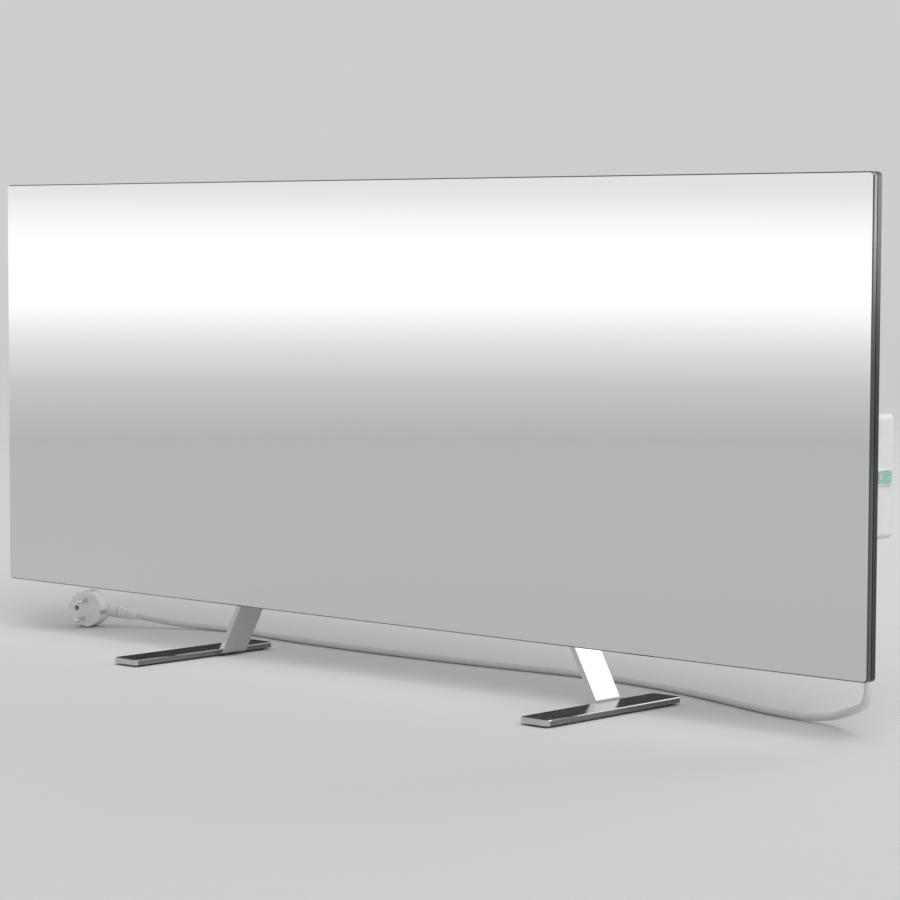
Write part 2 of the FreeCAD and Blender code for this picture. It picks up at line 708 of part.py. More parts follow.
def insulation_board():
    """Mineral board that fills the frame and the pan, with room for leads and nuts."""
    front = FILM_THICKNESS + BUS_THICKNESS + INSULATION_CLEARANCE
    rim_rear = FRAME_DEPTH - INSULATION_CLEARANCE
    pan_rear = PAN_INNER_Y - GROOVE_DEPTH - INSULATION_CLEARANCE
    x0, x1, z0, z1 = inset(PANEL_RECT, FRAME_FLANGE + INSULATION_EDGE_GAP)
    board = block(x0, x1, front, rim_rear, z0, z1)
    drawn_in = COVER_SHEET / math.cos(PAN_DRAFT) + PAN_DEPTH * PAN_SLOPE + INSULATION_EDGE_GAP
    raised = upright_plate(inset(PAN_RECT, drawn_in), front, pan_rear, PAN_CORNER_RADIUS - drawn_in)
    board = board.fuse(raised)
    tip = FLANGE_REAR_Y - FOOT_SCREW_LENGTH - INSULATION_CLEARANCE
    for x, z in foot_screw_points() + wall_points():
        board = board.cut(post_y(NUT_POCKET_WIDTH, x, z, tip, PAN_REAR_Y))
    half_channel = LEAD_CHANNEL_WIDTH / 2
    channel_rear = LEAD_Y + LEAD_RADIUS + LEAD_CLEARANCE
    board = board.cut(block(LEAD_X - half_channel, LEAD_X + half_channel, 0, channel_rear, z0, z1))
    half_cutout = CUTOUT_WIDTH / 2 + LEAD_CLEARANCE
    cutout_z0 = CUTOUT_LOW_Z - LEAD_CLEARANCE
    cutout_z1 = CUTOUT_LOW_Z + CUTOUT_LENGTH + LEAD_CLEARANCE
    pocket_rear = CUTOUT_REAR_Y + LEAD_CLEARANCE
    board = board.cut(block(LEAD_X - half_cutout, LEAD_X + half_cutout, 0, pocket_rear, cutout_z0, cutout_z1))
    grommet_room = GROMMET_RADIUS + INSULATION_EDGE_GAP
    return board.cut(rod_y(grommet_room, LEAD_X, BOX_MID_Z, 0, PAN_REAR_Y)).removeSplitter()


def back_cover_screws():
    """Screws around the rim of the back cover."""
    return Part.makeCompound([m3_screw(x, z, BOX_SEAT_Y, RIM_SCREW_LENGTH) for x, z in rim_screw_points()])


def weld_nuts():
    """Hexagon nuts welded inside the pan for the feet and the wall-hanging points."""
    nuts = []
    for x, z in foot_screw_points() + wall_points():
        nut = hexagon_y(NUT_ACROSS_FLATS, x, z, PAN_INNER_Y - NUT_HEIGHT, PAN_INNER_Y)
        hole = rod_y(M5_RADIUS + THREAD_CLEARANCE, x, z, 0, PAN_REAR_Y)
        nuts.append(nut.cut(hole))
    return Part.makeCompound(nuts)


# Feet

def right_foot():
    """A base bar, a strap that leans in behind the panel and a flange that is screwed to it."""
    half_length = FOOT_LENGTH / 2
    base_rect = (
        FOOT_CENTRE_X - FOOT_BASE_WIDTH / 2,
        FOOT_CENTRE_X + FOOT_BASE_WIDTH / 2,
        -half_length,
        half_length,
    )
    base_top = PAD_HEIGHT + FOOT_SHEET
    base = level_plate(base_rect, PAD_HEIGHT, base_top, FOOT_CORNER_RADIUS)
    base = base.makeChamfer(FOOT_EDGE_BEVEL, edges_in_plane(base, "Z", base_top))

    strap_y = PAN_REAR_Y + STRAP_WIDTH / 2
    strap_points = [
        Vector(FOOT_CENTRE_X, strap_y, FOOT_MID_Z),
        Vector(STRAP_LOW_X, strap_y, FOOT_MID_Z),
        Vector(STRAP_TOP_X, strap_y, STRAP_TOP_Z),
        Vector(STRAP_TOP_X, strap_y, FLANGE_LOW_Z),
    ]
    strap_radii = [STRAP_BEND_RADIUS, STRAP_TOP_BEND_RADIUS]
    strap = bent_sheet(strap_points, strap_radii, FOOT_SHEET, STRAP_WIDTH, Vector(0, 1, 0))

    flange_mid_y = PAN_REAR_Y + FOOT_SHEET / 2
    flange_mid_z = (FLANGE_LOW_Z + FLANGE_HIGH_Z) / 2
    flange_end_x = STRAP_TOP_X - FLANGE_WIDTH
    flange_points = [
        Vector(STRAP_TOP_X, PAN_REAR_Y + STRAP_WIDTH, flange_mid_z),
        Vector(STRAP_TOP_X, flange_mid_y, flange_mid_z),
        Vector(flange_end_x, flange_mid_y, flange_mid_z),
    ]
    flange = bent_sheet(flange_points, [FLANGE_BEND_RADIUS], FOOT_SHEET, FLANGE_HEIGHT, Vector(0, 0, 1))
    free_edges = [
        edge
        for edge in edges_in_plane(flange, "X", flange_end_x)
        if edge.BoundBox.ZLength < SAME_PLANE
    ]
    flange = flange.makeFillet(FLANGE_CORNER_RADIUS, free_edges)

    foot = base.fuse([strap, flange])
    for x, z in foot_screw_points():
        foot = foot.cut(rod_y(M5_RADIUS + M5_CLEARANCE, x, z, 0, FLANGE_REAR_Y + OVERCUT))
    return foot.removeSplitter()


def left_foot():
    """The right foot's mirror image."""
    return right_foot().mirror(Vector(0, 0, 0), Vector(1, 0, 0))


def foot_screws():
    """Low-headed screws with hexagon sockets, two in each foot."""
    screws = []
    head_rear = FLANGE_REAR_Y + M5_HEAD_HEIGHT
    for x, z in foot_screw_points():
        screw = screw_y(x, z, FLANGE_REAR_Y, FOOT_SCREW_LENGTH, M5_RADIUS, M5_HEAD_RADIUS, M5_HEAD_HEIGHT)
        socket = hexagon_y(M5_SOCKET_ACROSS_FLATS, x, z, head_rear - M5_SOCKET_DEPTH, head_rear + OVERCUT)
        screws.append(screw.cut(socket))
    return Part.makeCompound(screws)


def foot_pads():
    """Rubber pads under both ends of each base bar."""
    pads = []
    pad_y = FOOT_LENGTH / 2 - PAD_END_MARGIN - PAD_LENGTH / 2
    for x in (FOOT_CENTRE_X, -FOOT_CENTRE_X):
        for y in (pad_y, -pad_y):
            rect = (x - PAD_WIDTH / 2, x + PAD_WIDTH / 2, y - PAD_LENGTH / 2, y + PAD_LENGTH / 2)
            pads.append(level_plate(rect, 0, PAD_HEIGHT, PAD_CORNER_RADIUS))
    return Part.makeCompound(pads)


# Control box

def control_box_base():
    """Shallow tray with a register lip, screw bosses and the lower half of the cord clamp."""
    tray = upright_plate(BOX_RECT, BOX_SEAT_Y, BOX_SPLIT_Y, BOX_CORNER_RADIUS)
    lip_inset = BOX_WALL + LIP_CLEARANCE
    lip_top = BOX_SPLIT_Y + LIP_HEIGHT
    lip = upright_plate(inset(BOX_RECT, lip_inset), BOX_FLOOR_Y, lip_top, BOX_CORNER_RADIUS - lip_inset)
    tray = tray.fuse(lip)
    hollow_radius = BOX_CORNER_RADIUS - BASE_WALL
    tray = tray.cut(upright_plate(inset(BOX_RECT, BASE_WALL), BOX_FLOOR_Y, lip_top + OVERCUT, hollow_radius))
    bosses = [rod_y(BOSS_RADIUS, x, z, BOX_SEAT_Y, BOX_SPLIT_Y) for x, z in box_screw_points()]
    saddle_top = GLAND_Y - CLAMP_GAP / 2
    saddle = block(
        GLAND_X - CLAMP_HALF_WIDTH,
        GLAND_X + CLAMP_HALF_WIDTH,
        BOX_SEAT_Y,
        saddle_top,
        CLAMP_LOW_Z,
        CLAMP_HIGH_Z,
    )
    tray = tray.fuse(bosses + [saddle])
    for x, z in box_screw_points():
        screw_end = BOX_REAR_Y - COUNTERBORE_DEPTH - BOX_SCREW_LENGTH
        tray = tray.cut(rod_y(M3_RADIUS + THREAD_CLEARANCE, x, z, screw_end - THREAD_CLEARANCE, BOX_REAR_Y))
    for x, z in box_fixing_points():
        tray = tray.cut(rod_y(M3_RADIUS + M3_CLEARANCE, x, z, 0, BOX_FLOOR_Y + OVERCUT))
    for side in (1, -1):
        screw_end = CLAMP_BAR_Y - CLAMP_SCREW_LENGTH - THREAD_CLEARANCE
        x = GLAND_X + side * CLAMP_SCREW_OFFSET
        clamp_mid_z = (CLAMP_LOW_Z + CLAMP_HIGH_Z) / 2
        tray = tray.cut(rod_y(M3_RADIUS + THREAD_CLEARANCE, x, clamp_mid_z, screw_end, BOX_REAR_Y))
    tray = tray.cut(rod_z(GLAND_BORE, GLAND_X, GLAND_Y, CLAMP_LOW_Z - OVERCUT, CLAMP_HIGH_Z + OVERCUT))
    lead_hole = rod_y(GROMMET_RADIUS + GROMMET_CLEARANCE, LEAD_X, BOX_MID_Z, 0, BOX_FLOOR_Y + OVERCUT)
    return tray.cut(lead_hole).removeSplitter()


def control_box_cover():
    """Deep moulded lid with screw tubes, the switch opening and the hole for the gland."""
    lid = upright_plate(BOX_RECT, BOX_SPLIT_Y, BOX_REAR_Y, BOX_CORNER_RADIUS)
    lid = lid.makeFillet(BOX_EDGE_ROUND, edges_in_plane(lid, "Y", BOX_REAR_Y))
    inner_rear = BOX_REAR_Y - BOX_WALL
    hollow_radius = BOX_CORNER_RADIUS - BOX_WALL
    lid = lid.cut(upright_plate(inset(BOX_RECT, BOX_WALL), BOX_SPLIT_Y - OVERCUT, inner_rear, hollow_radius))
    lid = lid.fuse([rod_y(BOSS_RADIUS, x, z, BOX_SPLIT_Y, inner_rear) for x, z in box_screw_points()])
    for x, z in box_screw_points():
        lid = lid.cut(rod_y(M3_RADIUS + M3_CLEARANCE, x, z, 0, BOX_REAR_Y + OVERCUT))
        seat = BOX_REAR_Y - COUNTERBORE_DEPTH
        lid = lid.cut(rod_y(M3_HEAD_RADIUS + COUNTERBORE_CLEARANCE, x, z, seat, BOX_REAR_Y + OVERCUT))
    half_length = SWITCH_HALF_LENGTH + SWITCH_HOLE_CLEARANCE
    half_width = SWITCH_HALF_WIDTH + SWITCH_HOLE_CLEARANCE
    switch_hole = block(
        BOX_X1 - BOX_WALL - OVERCUT,
        BOX_X1 + OVERCUT,
        SWITCH_Y - half_length,
        SWITCH_Y + half_length,
        SWITCH_Z - half_width,
        SWITCH_Z + half_width,
    )
    neck_radius = GLAND_NECK_RADIUS + GLAND_NECK_CLEARANCE
    gland_hole = rod_z(neck_radius, GLAND_X, GLAND_Y, BOX_Z0 - OVERCUT, BOX_Z0 + BOX_WALL + OVERCUT)
    return lid.cut([switch_hole, gland_hole]).removeSplitter()


def control_box_screws():
    """Four long screws that hold the cover to the base."""
    seat = BOX_REAR_Y - COUNTERBORE_DEPTH
    return Part.makeCompound([m3_screw(x, z, seat, BOX_SCREW_LENGTH) for x, z in box_screw_points()])


def box_fixing_screws():
    """Two screws through the base into the rim of the back cover."""
    length = BOX_FLOOR + COVER_SHEET
    return Part.makeCompound([m3_screw(x, z, BOX_FLOOR_Y, length) for x, z in box_fixing_points()])


# Rocker switch

def switch_block(half_length, half_width, x0, x1):
    """A box centred on the switch, between two distances from the panel's middle."""
    return block(
        x0, x1, SWITCH_Y - half_length, SWITCH_Y + half_length, SWITCH_Z - half_width, SWITCH_Z + half_width
    )


def switch_body():
    """Switch housing with its bezel, the rocker's well and two pivot holes."""
    bezel_x = BOX_X1 + BEZEL_THICKNESS
    bezel_half_length = SWITCH_HALF_LENGTH + BEZEL_OVERLAP
    bezel_half_width = SWITCH_HALF_WIDTH + BEZEL_OVERLAP
    bezel = switch_block(bezel_half_length, bezel_half_width, BOX_X1, bezel_x)
    bezel = bezel.makeFillet(BEZEL_EDGE_ROUND, edges_in_plane(bezel, "X", bezel_x))
    housing = switch_block(SWITCH_HALF_LENGTH, SWITCH_HALF_WIDTH, BOX_X1 - SWITCH_DEPTH, BOX_X1)
    well_x = PIVOT_X - ROCKER_FOOT_DEPTH - ROCKER_FLOOR_ROOM
    well = switch_block(CAVITY_HALF_LENGTH, CAVITY_HALF_WIDTH, well_x, bezel_x + OVERCUT)
    low_z = SWITCH_Z - SWITCH_HALF_WIDTH
    high_z = SWITCH_Z + SWITCH_HALF_WIDTH
    pivot_hole = rod_z(PIVOT_RADIUS + PIVOT_CLEARANCE, PIVOT_X, SWITCH_Y, low_z, high_z)
    return bezel.fuse(housing).cut([well, pivot_hole]).removeSplitter()


def switch_rocker():
    """Green rocker with a dished face, resting tipped towards the front on two stub pivots."""
    half_length = ROCKER_LENGTH / 2
    half_neck = ROCKER_NECK_LENGTH / 2
    half_foot = ROCKER_FOOT_LENGTH / 2
    low_z = SWITCH_Z - ROCKER_WIDTH / 2

    def place(outward, along):
        return Vector(PIVOT_X + outward, SWITCH_Y + along, low_z)

    front = place(ROCKER_END_RISE, -half_length)
    dish = place(ROCKER_END_RISE - ROCKER_DISH, 0)
    rear = place(ROCKER_END_RISE, half_length)
    corners = [
        rear,
        place(-ROCKER_NECK_DEPTH, half_neck),
        place(-ROCKER_FOOT_DEPTH, half_foot),
        place(-ROCKER_FOOT_DEPTH, -half_foot),
        place(-ROCKER_NECK_DEPTH, -half_neck),
        front,
    ]
    edges = [Part.Arc(front, dish, rear).toShape()]
    edges += [Part.LineSegment(a, b).toShape() for a, b in zip(corners, corners[1:])]
    key = Part.Face(Part.Wire(edges)).extrude(Vector(0, 0, ROCKER_WIDTH))
    pivot_reach = SWITCH_HALF_WIDTH - PIVOT_END_CLEARANCE
    pivot = rod_z(PIVOT_RADIUS, PIVOT_X, SWITCH_Y, SWITCH_Z - pivot_reach, SWITCH_Z + pivot_reach)
    rocker = key.fuse(pivot)
    rocker.rotate(Vector(PIVOT_X, SWITCH_Y, SWITCH_Z), Vector(0, 0, 1), -ROCKER_TILT)
    return rocker


def switch_tabs():
    """Blade contacts at the back of the switch."""
    root = BOX_X1 - SWITCH_DEPTH
    tabs = []
    for index in range(TAB_COUNT):
        y = SWITCH_Y + TAB_PITCH * (index - (TAB_COUNT - 1) / 2)
        tabs.append(
            block(
                root - TAB_LENGTH,
                root,
                y - TAB_THICKNESS / 2,
                y + TAB_THICKNESS / 2,
                SWITCH_Z - TAB_WIDTH / 2,
                SWITCH_Z + TAB_WIDTH / 2,
            )
        )
    return Part.makeCompound(tabs)


# Wiring inside

def terminal_block():
    """Three-pole block on the floor of the box, with a screw tower at each end of a pole."""
    low_z = POLE_HEIGHTS[-1] - BLOCK_END_WALL
    high_z = POLE_HEIGHTS[0] + BLOCK_END_WALL
    block_rear = BOX_FLOOR_Y + BLOCK_HEIGHT
    half_width = BLOCK_WIDTH / 2
    body = block(LEAD_X - half_width, LEAD_X + half_width, BOX_FLOOR_Y, block_rear, low_z, high_z)
    tower_rear = block_rear + TOWER_HEIGHT
    body = body.fuse([post_y(TOWER_WIDTH, x, z, BOX_FLOOR_Y, tower_rear) for x, z in terminal_screw_points()])
    hole_radius = TOWER_SCREW_RADIUS + THREAD_CLEARANCE
    for x, z in terminal_screw_points():
        body = body.cut(rod_y(hole_radius, x, z, tower_rear - TOWER_SCREW_DEPTH, tower_rear + OVERCUT))
    for z in POLE_HEIGHTS[:2]:
        entry = rod_y(LEAD_RADIUS + LEAD_CLEARANCE, LEAD_X, z, 0, BOX_FLOOR_Y + LEAD_ENTRY_DEPTH)
        body = body.cut(entry)
    return body.removeSplitter()


def terminal_screws():
    """Grub screws in the towers of the terminal block."""
    rear = BOX_FLOOR_Y + BLOCK_HEIGHT + TOWER_HEIGHT
    bottom = rear - TOWER_SCREW_DEPTH
    top = rear - THREAD_CLEARANCE
    screws = [rod_y(TOWER_SCREW_RADIUS, x, z, bottom, top) for x, z in terminal_screw_points()]
    return Part.makeCompound(screws)


def lead_grommet():
    """Rubber ring in the back cover that the leads pass through."""
    profile = [
        (GROMMET_BORE, -GROMMET_FLANGE_HEIGHT),
        (GROMMET_RADIUS, -GROMMET_FLANGE_HEIGHT),
        (GROMMET_RADIUS, 0),
        (GROMMET_NECK, 0),
        (GROMMET_NECK, COVER_SHEET),
        (GROMMET_RADIUS, COVER_SHEET),
        (GROMMET_RADIUS, COVER_SHEET + GROMMET_FLANGE_HEIGHT),
        (GROMMET_BORE, COVER_SHEET + GROMMET_FLANGE_HEIGHT),
    ]
    ring = turned(profile)
    ring.rotate(Vector(0, 0, 0), Vector(1, 0, 0), -90)
    ring.translate(Vector(LEAD_X, FRAME_DEPTH, BOX_MID_Z))
    return ring


def thermal_cutout():
    """Flat over-temperature cut-out that lies on the film, in the upper lead."""
    return block(
        LEAD_X - CUTOUT_WIDTH / 2,
        LEAD_X + CUTOUT_WIDTH / 2,
        FILM_THICKNESS,
        CUTOUT_REAR_Y,
        CUTOUT_LOW_Z,
        CUTOUT_LOW_Z + CUTOUT_LENGTH,
    )


def element_leads():
    """Leads from the bus bars to the terminal block, the upper one by way of the cut-out."""
    upper = rod_z(LEAD_RADIUS, LEAD_X, LEAD_Y, CUTOUT_LOW_Z + CUTOUT_LENGTH, BUS_RECT[3])
    solids = [upper]
    for start_z, pole_z in ((CUTOUT_LOW_Z, POLE_HEIGHTS[0]), (BUS_RECT[2], POLE_HEIGHTS[1])):
        points = [
            Vector(LEAD_X, LEAD_Y, start_z),
            Vector(LEAD_X, LEAD_Y, pole_z),
            Vector(LEAD_X, LEAD_END_Y, pole_z),
        ]
        lead, _ = tube(points, [LEAD_BEND_RADIUS], LEAD_RADIUS)
        solids.append(lead)
    return Part.makeCompound(solids)


# Cord and its fittings

def cord_gland():
    """Snap-in gland in the underside of the box with a ribbed bend protector."""
    core_radius = GLAND_BORE + GLAND_CORE_WALL
    boot = ribbed_boot(
        GLAND_BOOT_TOP_RADIUS, GLAND_BOOT_END_RADIUS, GLAND_BOOT_LENGTH, core_radius, GLAND_RIB_COUNT
    )
    boot.rotate(Vector(0, 0, 0), Vector(1, 0, 0), 180)
    neck_top = GLAND_FLANGE_HEIGHT + BOX_WALL
    head_top = neck_top + GLAND_INNER_FLANGE_HEIGHT
    head = turned(
        [
            (0, 0),
            (GLAND_FLANGE_RADIUS, 0),
            (GLAND_FLANGE_RADIUS, GLAND_FLANGE_HEIGHT),
            (GLAND_NECK_RADIUS, GLAND_FLANGE_HEIGHT),
            (GLAND_NECK_RADIUS, neck_top),
            (GLAND_INNER_FLANGE_RADIUS, neck_top),
            (GLAND_NECK_RADIUS, head_top),
            (0, head_top),
        ]
    )
    bore = rod_z(GLAND_BORE, 0, 0, -GLAND_BOOT_LENGTH - OVERCUT, head_top + OVERCUT)
    gland = boot.fuse(head).cut(bore)
    gland.translate(Vector(GLAND_X, GLAND_Y, BOX_Z0 - GLAND_FLANGE_HEIGHT))
    return gland


def cord_tail():
    """The cord's end inside the gland and the box."""
    return rod_z(CORD_RADIUS, GLAND_X, GLAND_Y, GLAND_END_Z, CLAMP_HIGH_Z + TAIL_ABOVE_CLAMP)


def cord_clamp():
    """Bar that holds the cord down on its saddle."""
    bar = block(
        GLAND_X - CLAMP_HALF_WIDTH,
        GLAND_X + CLAMP_HALF_WIDTH,
        GLAND_Y + CLAMP_GAP / 2,
        CLAMP_BAR_Y,
        CLAMP_LOW_Z,
        CLAMP_HIGH_Z,
    )
    bar = bar.cut(rod_z(GLAND_BORE, GLAND_X, GLAND_Y, CLAMP_LOW_Z - OVERCUT, CLAMP_HIGH_Z + OVERCUT))
    mid_z = (CLAMP_LOW_Z + CLAMP_HIGH_Z) / 2
    for side in (1, -1):
        x = GLAND_X + side * CLAMP_SCREW_OFFSET
        bar = bar.cut(rod_y(M3_RADIUS + M3_CLEARANCE, x, mid_z, GLAND_Y, CLAMP_BAR_Y + OVERCUT))
    return bar


def clamp_screws():
    """Two screws that draw the clamp bar down."""
    mid_z = (CLAMP_LOW_Z + CLAMP_HIGH_Z) / 2
    places = [GLAND_X + side * CLAMP_SCREW_OFFSET for side in (1, -1)]
    return Part.makeCompound([m3_screw(x, mid_z, CLAMP_BAR_Y, CLAMP_SCREW_LENGTH) for x in places])


def cord_radii():
    """The largest bend that each point's two runs leave room for."""
    radii = []
    for before, corner, after in zip(CORD_ROUTE, CORD_ROUTE[1:], CORD_ROUTE[2:]):
        shorter = min((corner - before).Length, (after - corner).Length)
        turn = (corner - before).getAngle(after - corner)
        radii.append(CORD_ARC_SHARE * shorter / math.tan(turn / 2))
    return radii


def mains_cord():
    """The free cord between its gland and the plug."""
    radii = cord_radii()
    print("cord radii:", [round(radius, 1) for radius in radii])
    solid, length = tube(CORD_ROUTE, radii, CORD_RADIUS)
    print(f"cord length {length:.1f}")
    return solid


def plug_matrix():
    """Puts the plug on the cord's end: its own X towards the cord, its own Z along the pins."""
    cord_end = CORD_ROUTE[-1]
    towards_cord = (CORD_ROUTE[-2] - cord_end).normalize()
    pins = towards_cord.cross(Vector(0, 0, 1)).normalize()
    pin_line = pins.cross(towards_cord)
    centre = cord_end - towards_cord * PLUG_BOOT_REACH + pins * PLUG_BOOT_DEPTH
    columns = zip(towards_cord, pin_line, pins, centre)
    return FreeCAD.Matrix(*[value for row in columns for value in row])


def place_plug_piece(shape):
    """Moves a piece from the plug's own axes to where the plug lies."""
    return shape.transformed(plug_matrix(), True)


def pin_offsets():
    """The pins' distances from the plug's axis."""
    return (PIN_SPACING / 2, -PIN_SPACING / 2)


def earth_blocks(clearance):
    """The two strips on the plug's flanks, or the recesses that they lie in."""
    inner = PLUG_RADIUS - EARTH_THICKNESS - EARTH_SETBACK - clearance
    outer = PLUG_RADIUS - EARTH_SETBACK + (OVERCUT if clearance else 0)
    half_width = EARTH_WIDTH / 2 + clearance
    top = OVERCUT if clearance else 0
    strips = []
    for low, high in ((inner, outer), (-outer, -inner)):
        strips.append(block(low, high, -half_width, half_width, -EARTH_LENGTH - clearance, top))
    return strips


def plug_body():
    """Moulded plug: a round insert, a collar, a bevelled back and a ribbed boot at its side."""
    collar_low = -PLUG_INSERT_DEPTH - PLUG_COLLAR_DEPTH
    body = turned(
        [
            (0, 0),
            (PLUG_RADIUS - PLUG_FACE_BEVEL, 0),
            (PLUG_RADIUS, -PLUG_FACE_BEVEL),
            (PLUG_RADIUS, -PLUG_INSERT_DEPTH),
            (PLUG_COLLAR_RADIUS, -PLUG_INSERT_DEPTH),
            (PLUG_COLLAR_RADIUS, collar_low),
            (PLUG_BACK_RADIUS, -PLUG_DEPTH + PLUG_BACK_BEVEL),
            (PLUG_BACK_RADIUS - PLUG_BACK_BEVEL, -PLUG_DEPTH),
            (0, -PLUG_DEPTH),
        ]
    )
    boot_length = PLUG_BOOT_REACH - PLUG_BOOT_START
    boot_core = CORD_RADIUS + GLAND_CORE_WALL
    boot = ribbed_boot(
        PLUG_BOOT_ROOT_RADIUS, PLUG_BOOT_END_RADIUS, boot_length, boot_core, PLUG_BOOT_RIB_COUNT
    )
    boot.rotate(Vector(0, 0, 0), Vector(0, 1, 0), 90)
    boot.translate(Vector(PLUG_BOOT_START, 0, -PLUG_BOOT_DEPTH))
    body = body.fuse(boot)
    cuts = earth_blocks(LEAD_CLEARANCE)
    for y in pin_offsets():
        cuts.append(rod_z(PIN_ROOT_RADIUS + THREAD_CLEARANCE, 0, y, -PIN_ROOT_DEPTH, OVERCUT))
    keyway_inner = PLUG_RADIUS - PLUG_KEYWAY_DEPTH
    half_keyway = PLUG_KEYWAY_WIDTH / 2
    for low, high in ((keyway_inner, PLUG_RADIUS + OVERCUT), (-PLUG_RADIUS - OVERCUT, -keyway_inner)):
        cuts.append(block(-half_keyway, half_keyway, low, high, -PLUG_INSERT_DEPTH, OVERCUT))
    cuts.append(rod_z(EARTH_HOLE_RADIUS, -EARTH_HOLE_OFFSET, 0, -EARTH_HOLE_DEPTH, OVERCUT))
    return place_plug_piece(body.cut(cuts).removeSplitter())


def plug_pins():
    """Two round pins with tapered tips, each on a thinner root inside the moulding."""
    profile = [
        (0, -PIN_ROOT_DEPTH),
        (PIN_ROOT_RADIUS, -PIN_ROOT_DEPTH),
        (PIN_ROOT_RADIUS, 0),
        (PIN_RADIUS, 0),
        (PIN_RADIUS, PIN_LENGTH - PIN_TIP_LENGTH),
        (PIN_TIP_RADIUS, PIN_LENGTH),
        (0, PIN_LENGTH),
    ]
    pins = []
    for y in pin_offsets():
        pin = turned(profile)
        pin.translate(Vector(0, y, 0))
        pins.append(pin)
    return place_plug_piece(Part.makeCompound(pins))


def plug_earth_contacts():
    """Spring strips let into the plug's flanks."""
    return place_plug_piece(Part.makeCompound(earth_blocks(0)))


PIECES = {
    "front_glass": front_glass,
    "glass_seal": glass_seal,
    "heating_film": heating_film,
    "bus_bars": bus_bars,
    "frame_bottom": lambda: level_bar(LOW_Z, 1),
    "frame_top": lambda: level_bar(HIGH_Z, -1),
    "frame_left": lambda: side_bar(-SIDE_X, 1),
    "frame_right": lambda: side_bar(SIDE_X, -1),
    "corner_keys": corner_keys,
    "insulation_board": insulation_board,
    "back_cover": back_cover,
    "back_cover_screws": back_cover_screws,
    "weld_nuts": weld_nuts,
    "foot_right": right_foot,
    "foot_left": left_foot,
    "foot_screws": foot_screws,
    "foot_pads": foot_pads,
    "control_box_base": control_box_base,
    "control_box_cover": control_box_cover,
    "control_box_screws": control_box_screws,
    "box_fixing_screws": box_fixing_screws,
    "switch_body": switch_body,
    "switch_rocker": switch_rocker,
    "switch_tabs": switch_tabs,
    "terminal_block": terminal_block,
    "terminal_screws": terminal_screws,
    "lead_grommet": lead_grommet,
    "thermal_cutout": thermal_cutout,
    "element_leads": element_leads,
    "cord_gland": cord_gland,
    "cord_tail": cord_tail,
    "cord_clamp": cord_clamp,
    "clamp_screws": clamp_screws,
    "mains_cord": mains_cord,
    "plug_body": plug_body,
    "plug_pins": plug_pins,
    "plug_earth_contacts": plug_earth_contacts,
}

os.makedirs("parts", exist_ok=True)
for name, make in PIECES.items():
    shape = make()
    shape.exportStep(f"parts/{name}.step")
    print(f"{name}: {len(shape.Solids)} solid(s), {shape.Volume:.0f} mm3, valid {shape.isValid()}")
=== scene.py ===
# %% [markdown]
# A glass panel heater on two bent metal feet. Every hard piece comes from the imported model, at its
# real size and in its real place. What is left for this lesson is what the eye sees: the finish of
# each surface, the cord on the floor, a few small pieces with finer shapes, and the light.

# %% Load the model
import math

import bmesh
import bpy
from mathutils import Matrix, Vector


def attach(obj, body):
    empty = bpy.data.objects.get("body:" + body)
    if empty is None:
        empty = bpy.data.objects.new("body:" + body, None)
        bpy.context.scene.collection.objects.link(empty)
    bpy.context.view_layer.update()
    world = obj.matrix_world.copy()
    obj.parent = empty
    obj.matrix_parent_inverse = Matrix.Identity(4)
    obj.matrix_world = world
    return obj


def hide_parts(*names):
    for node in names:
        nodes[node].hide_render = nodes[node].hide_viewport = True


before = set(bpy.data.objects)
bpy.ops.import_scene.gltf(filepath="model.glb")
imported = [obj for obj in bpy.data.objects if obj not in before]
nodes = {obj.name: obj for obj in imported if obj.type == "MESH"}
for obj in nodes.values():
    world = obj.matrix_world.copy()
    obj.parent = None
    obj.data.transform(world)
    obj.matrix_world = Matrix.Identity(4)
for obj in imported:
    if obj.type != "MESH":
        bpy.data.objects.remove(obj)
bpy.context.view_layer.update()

# %% [markdown]
# The camera stands to the right of the panel, just under its top edge, and looks a little down
# through a long lens. Its place, turn and lens were worked out from the corners of the panel in the
# photograph. A camera can be aimed by hand or by a constraint, but three angles written as numbers
# give the same picture every time.

# %% Camera
MM = 0.001
CAMERA_PLACE = Vector((1823.3, -1920.2, 398.2)) * MM
CAMERA_YAW = math.radians(42.27)
CAMERA_PITCH = math.radians(4.017)
CAMERA_ROLL = math.radians(0.214)
CAMERA_LENS = 117.91
CAMERA_SENSOR = 36.0


def camera_turn():
    """The camera's right, up and backward directions, as the columns of a matrix."""
    forward = Vector((
        -math.sin(CAMERA_YAW) * math.cos(CAMERA_PITCH),
        math.cos(CAMERA_YAW) * math.cos(CAMERA_PITCH),
        -math.sin(CAMERA_PITCH),
    ))
    level_right = Vector((math.cos(CAMERA_YAW), math.sin(CAMERA_YAW), 0))
    level_up = level_right.cross(forward)
    right = level_right * math.cos(CAMERA_ROLL) + level_up * math.sin(CAMERA_ROLL)
    up = level_up * math.cos(CAMERA_ROLL) - level_right * math.sin(CAMERA_ROLL)
    return Matrix((right, up, -forward)).transposed().to_4x4()


camera_data = bpy.data.cameras.new("photo_camera")
camera_data.lens = CAMERA_LENS
camera_data.sensor_width = CAMERA_SENSOR
camera = bpy.data.objects.new("photo_camera", camera_data)
bpy.context.scene.collection.objects.link(camera)
camera.matrix_world = Matrix.Translation(CAMERA_PLACE) @ camera_turn()
bpy.context.scene.camera = camera
print("camera at", tuple(camera.matrix_world.translation))

# %% [markdown]
# The cord leaves a bend protector under the control box, drops to the floor, runs behind both feet
# and rises into the side of the plug. It could be a mesh tube, but a curve with a round bevel keeps
# one smooth line with few points. Its control points are the ones that the solid model follows, and
# a spline of order three passes close to them without kinks.

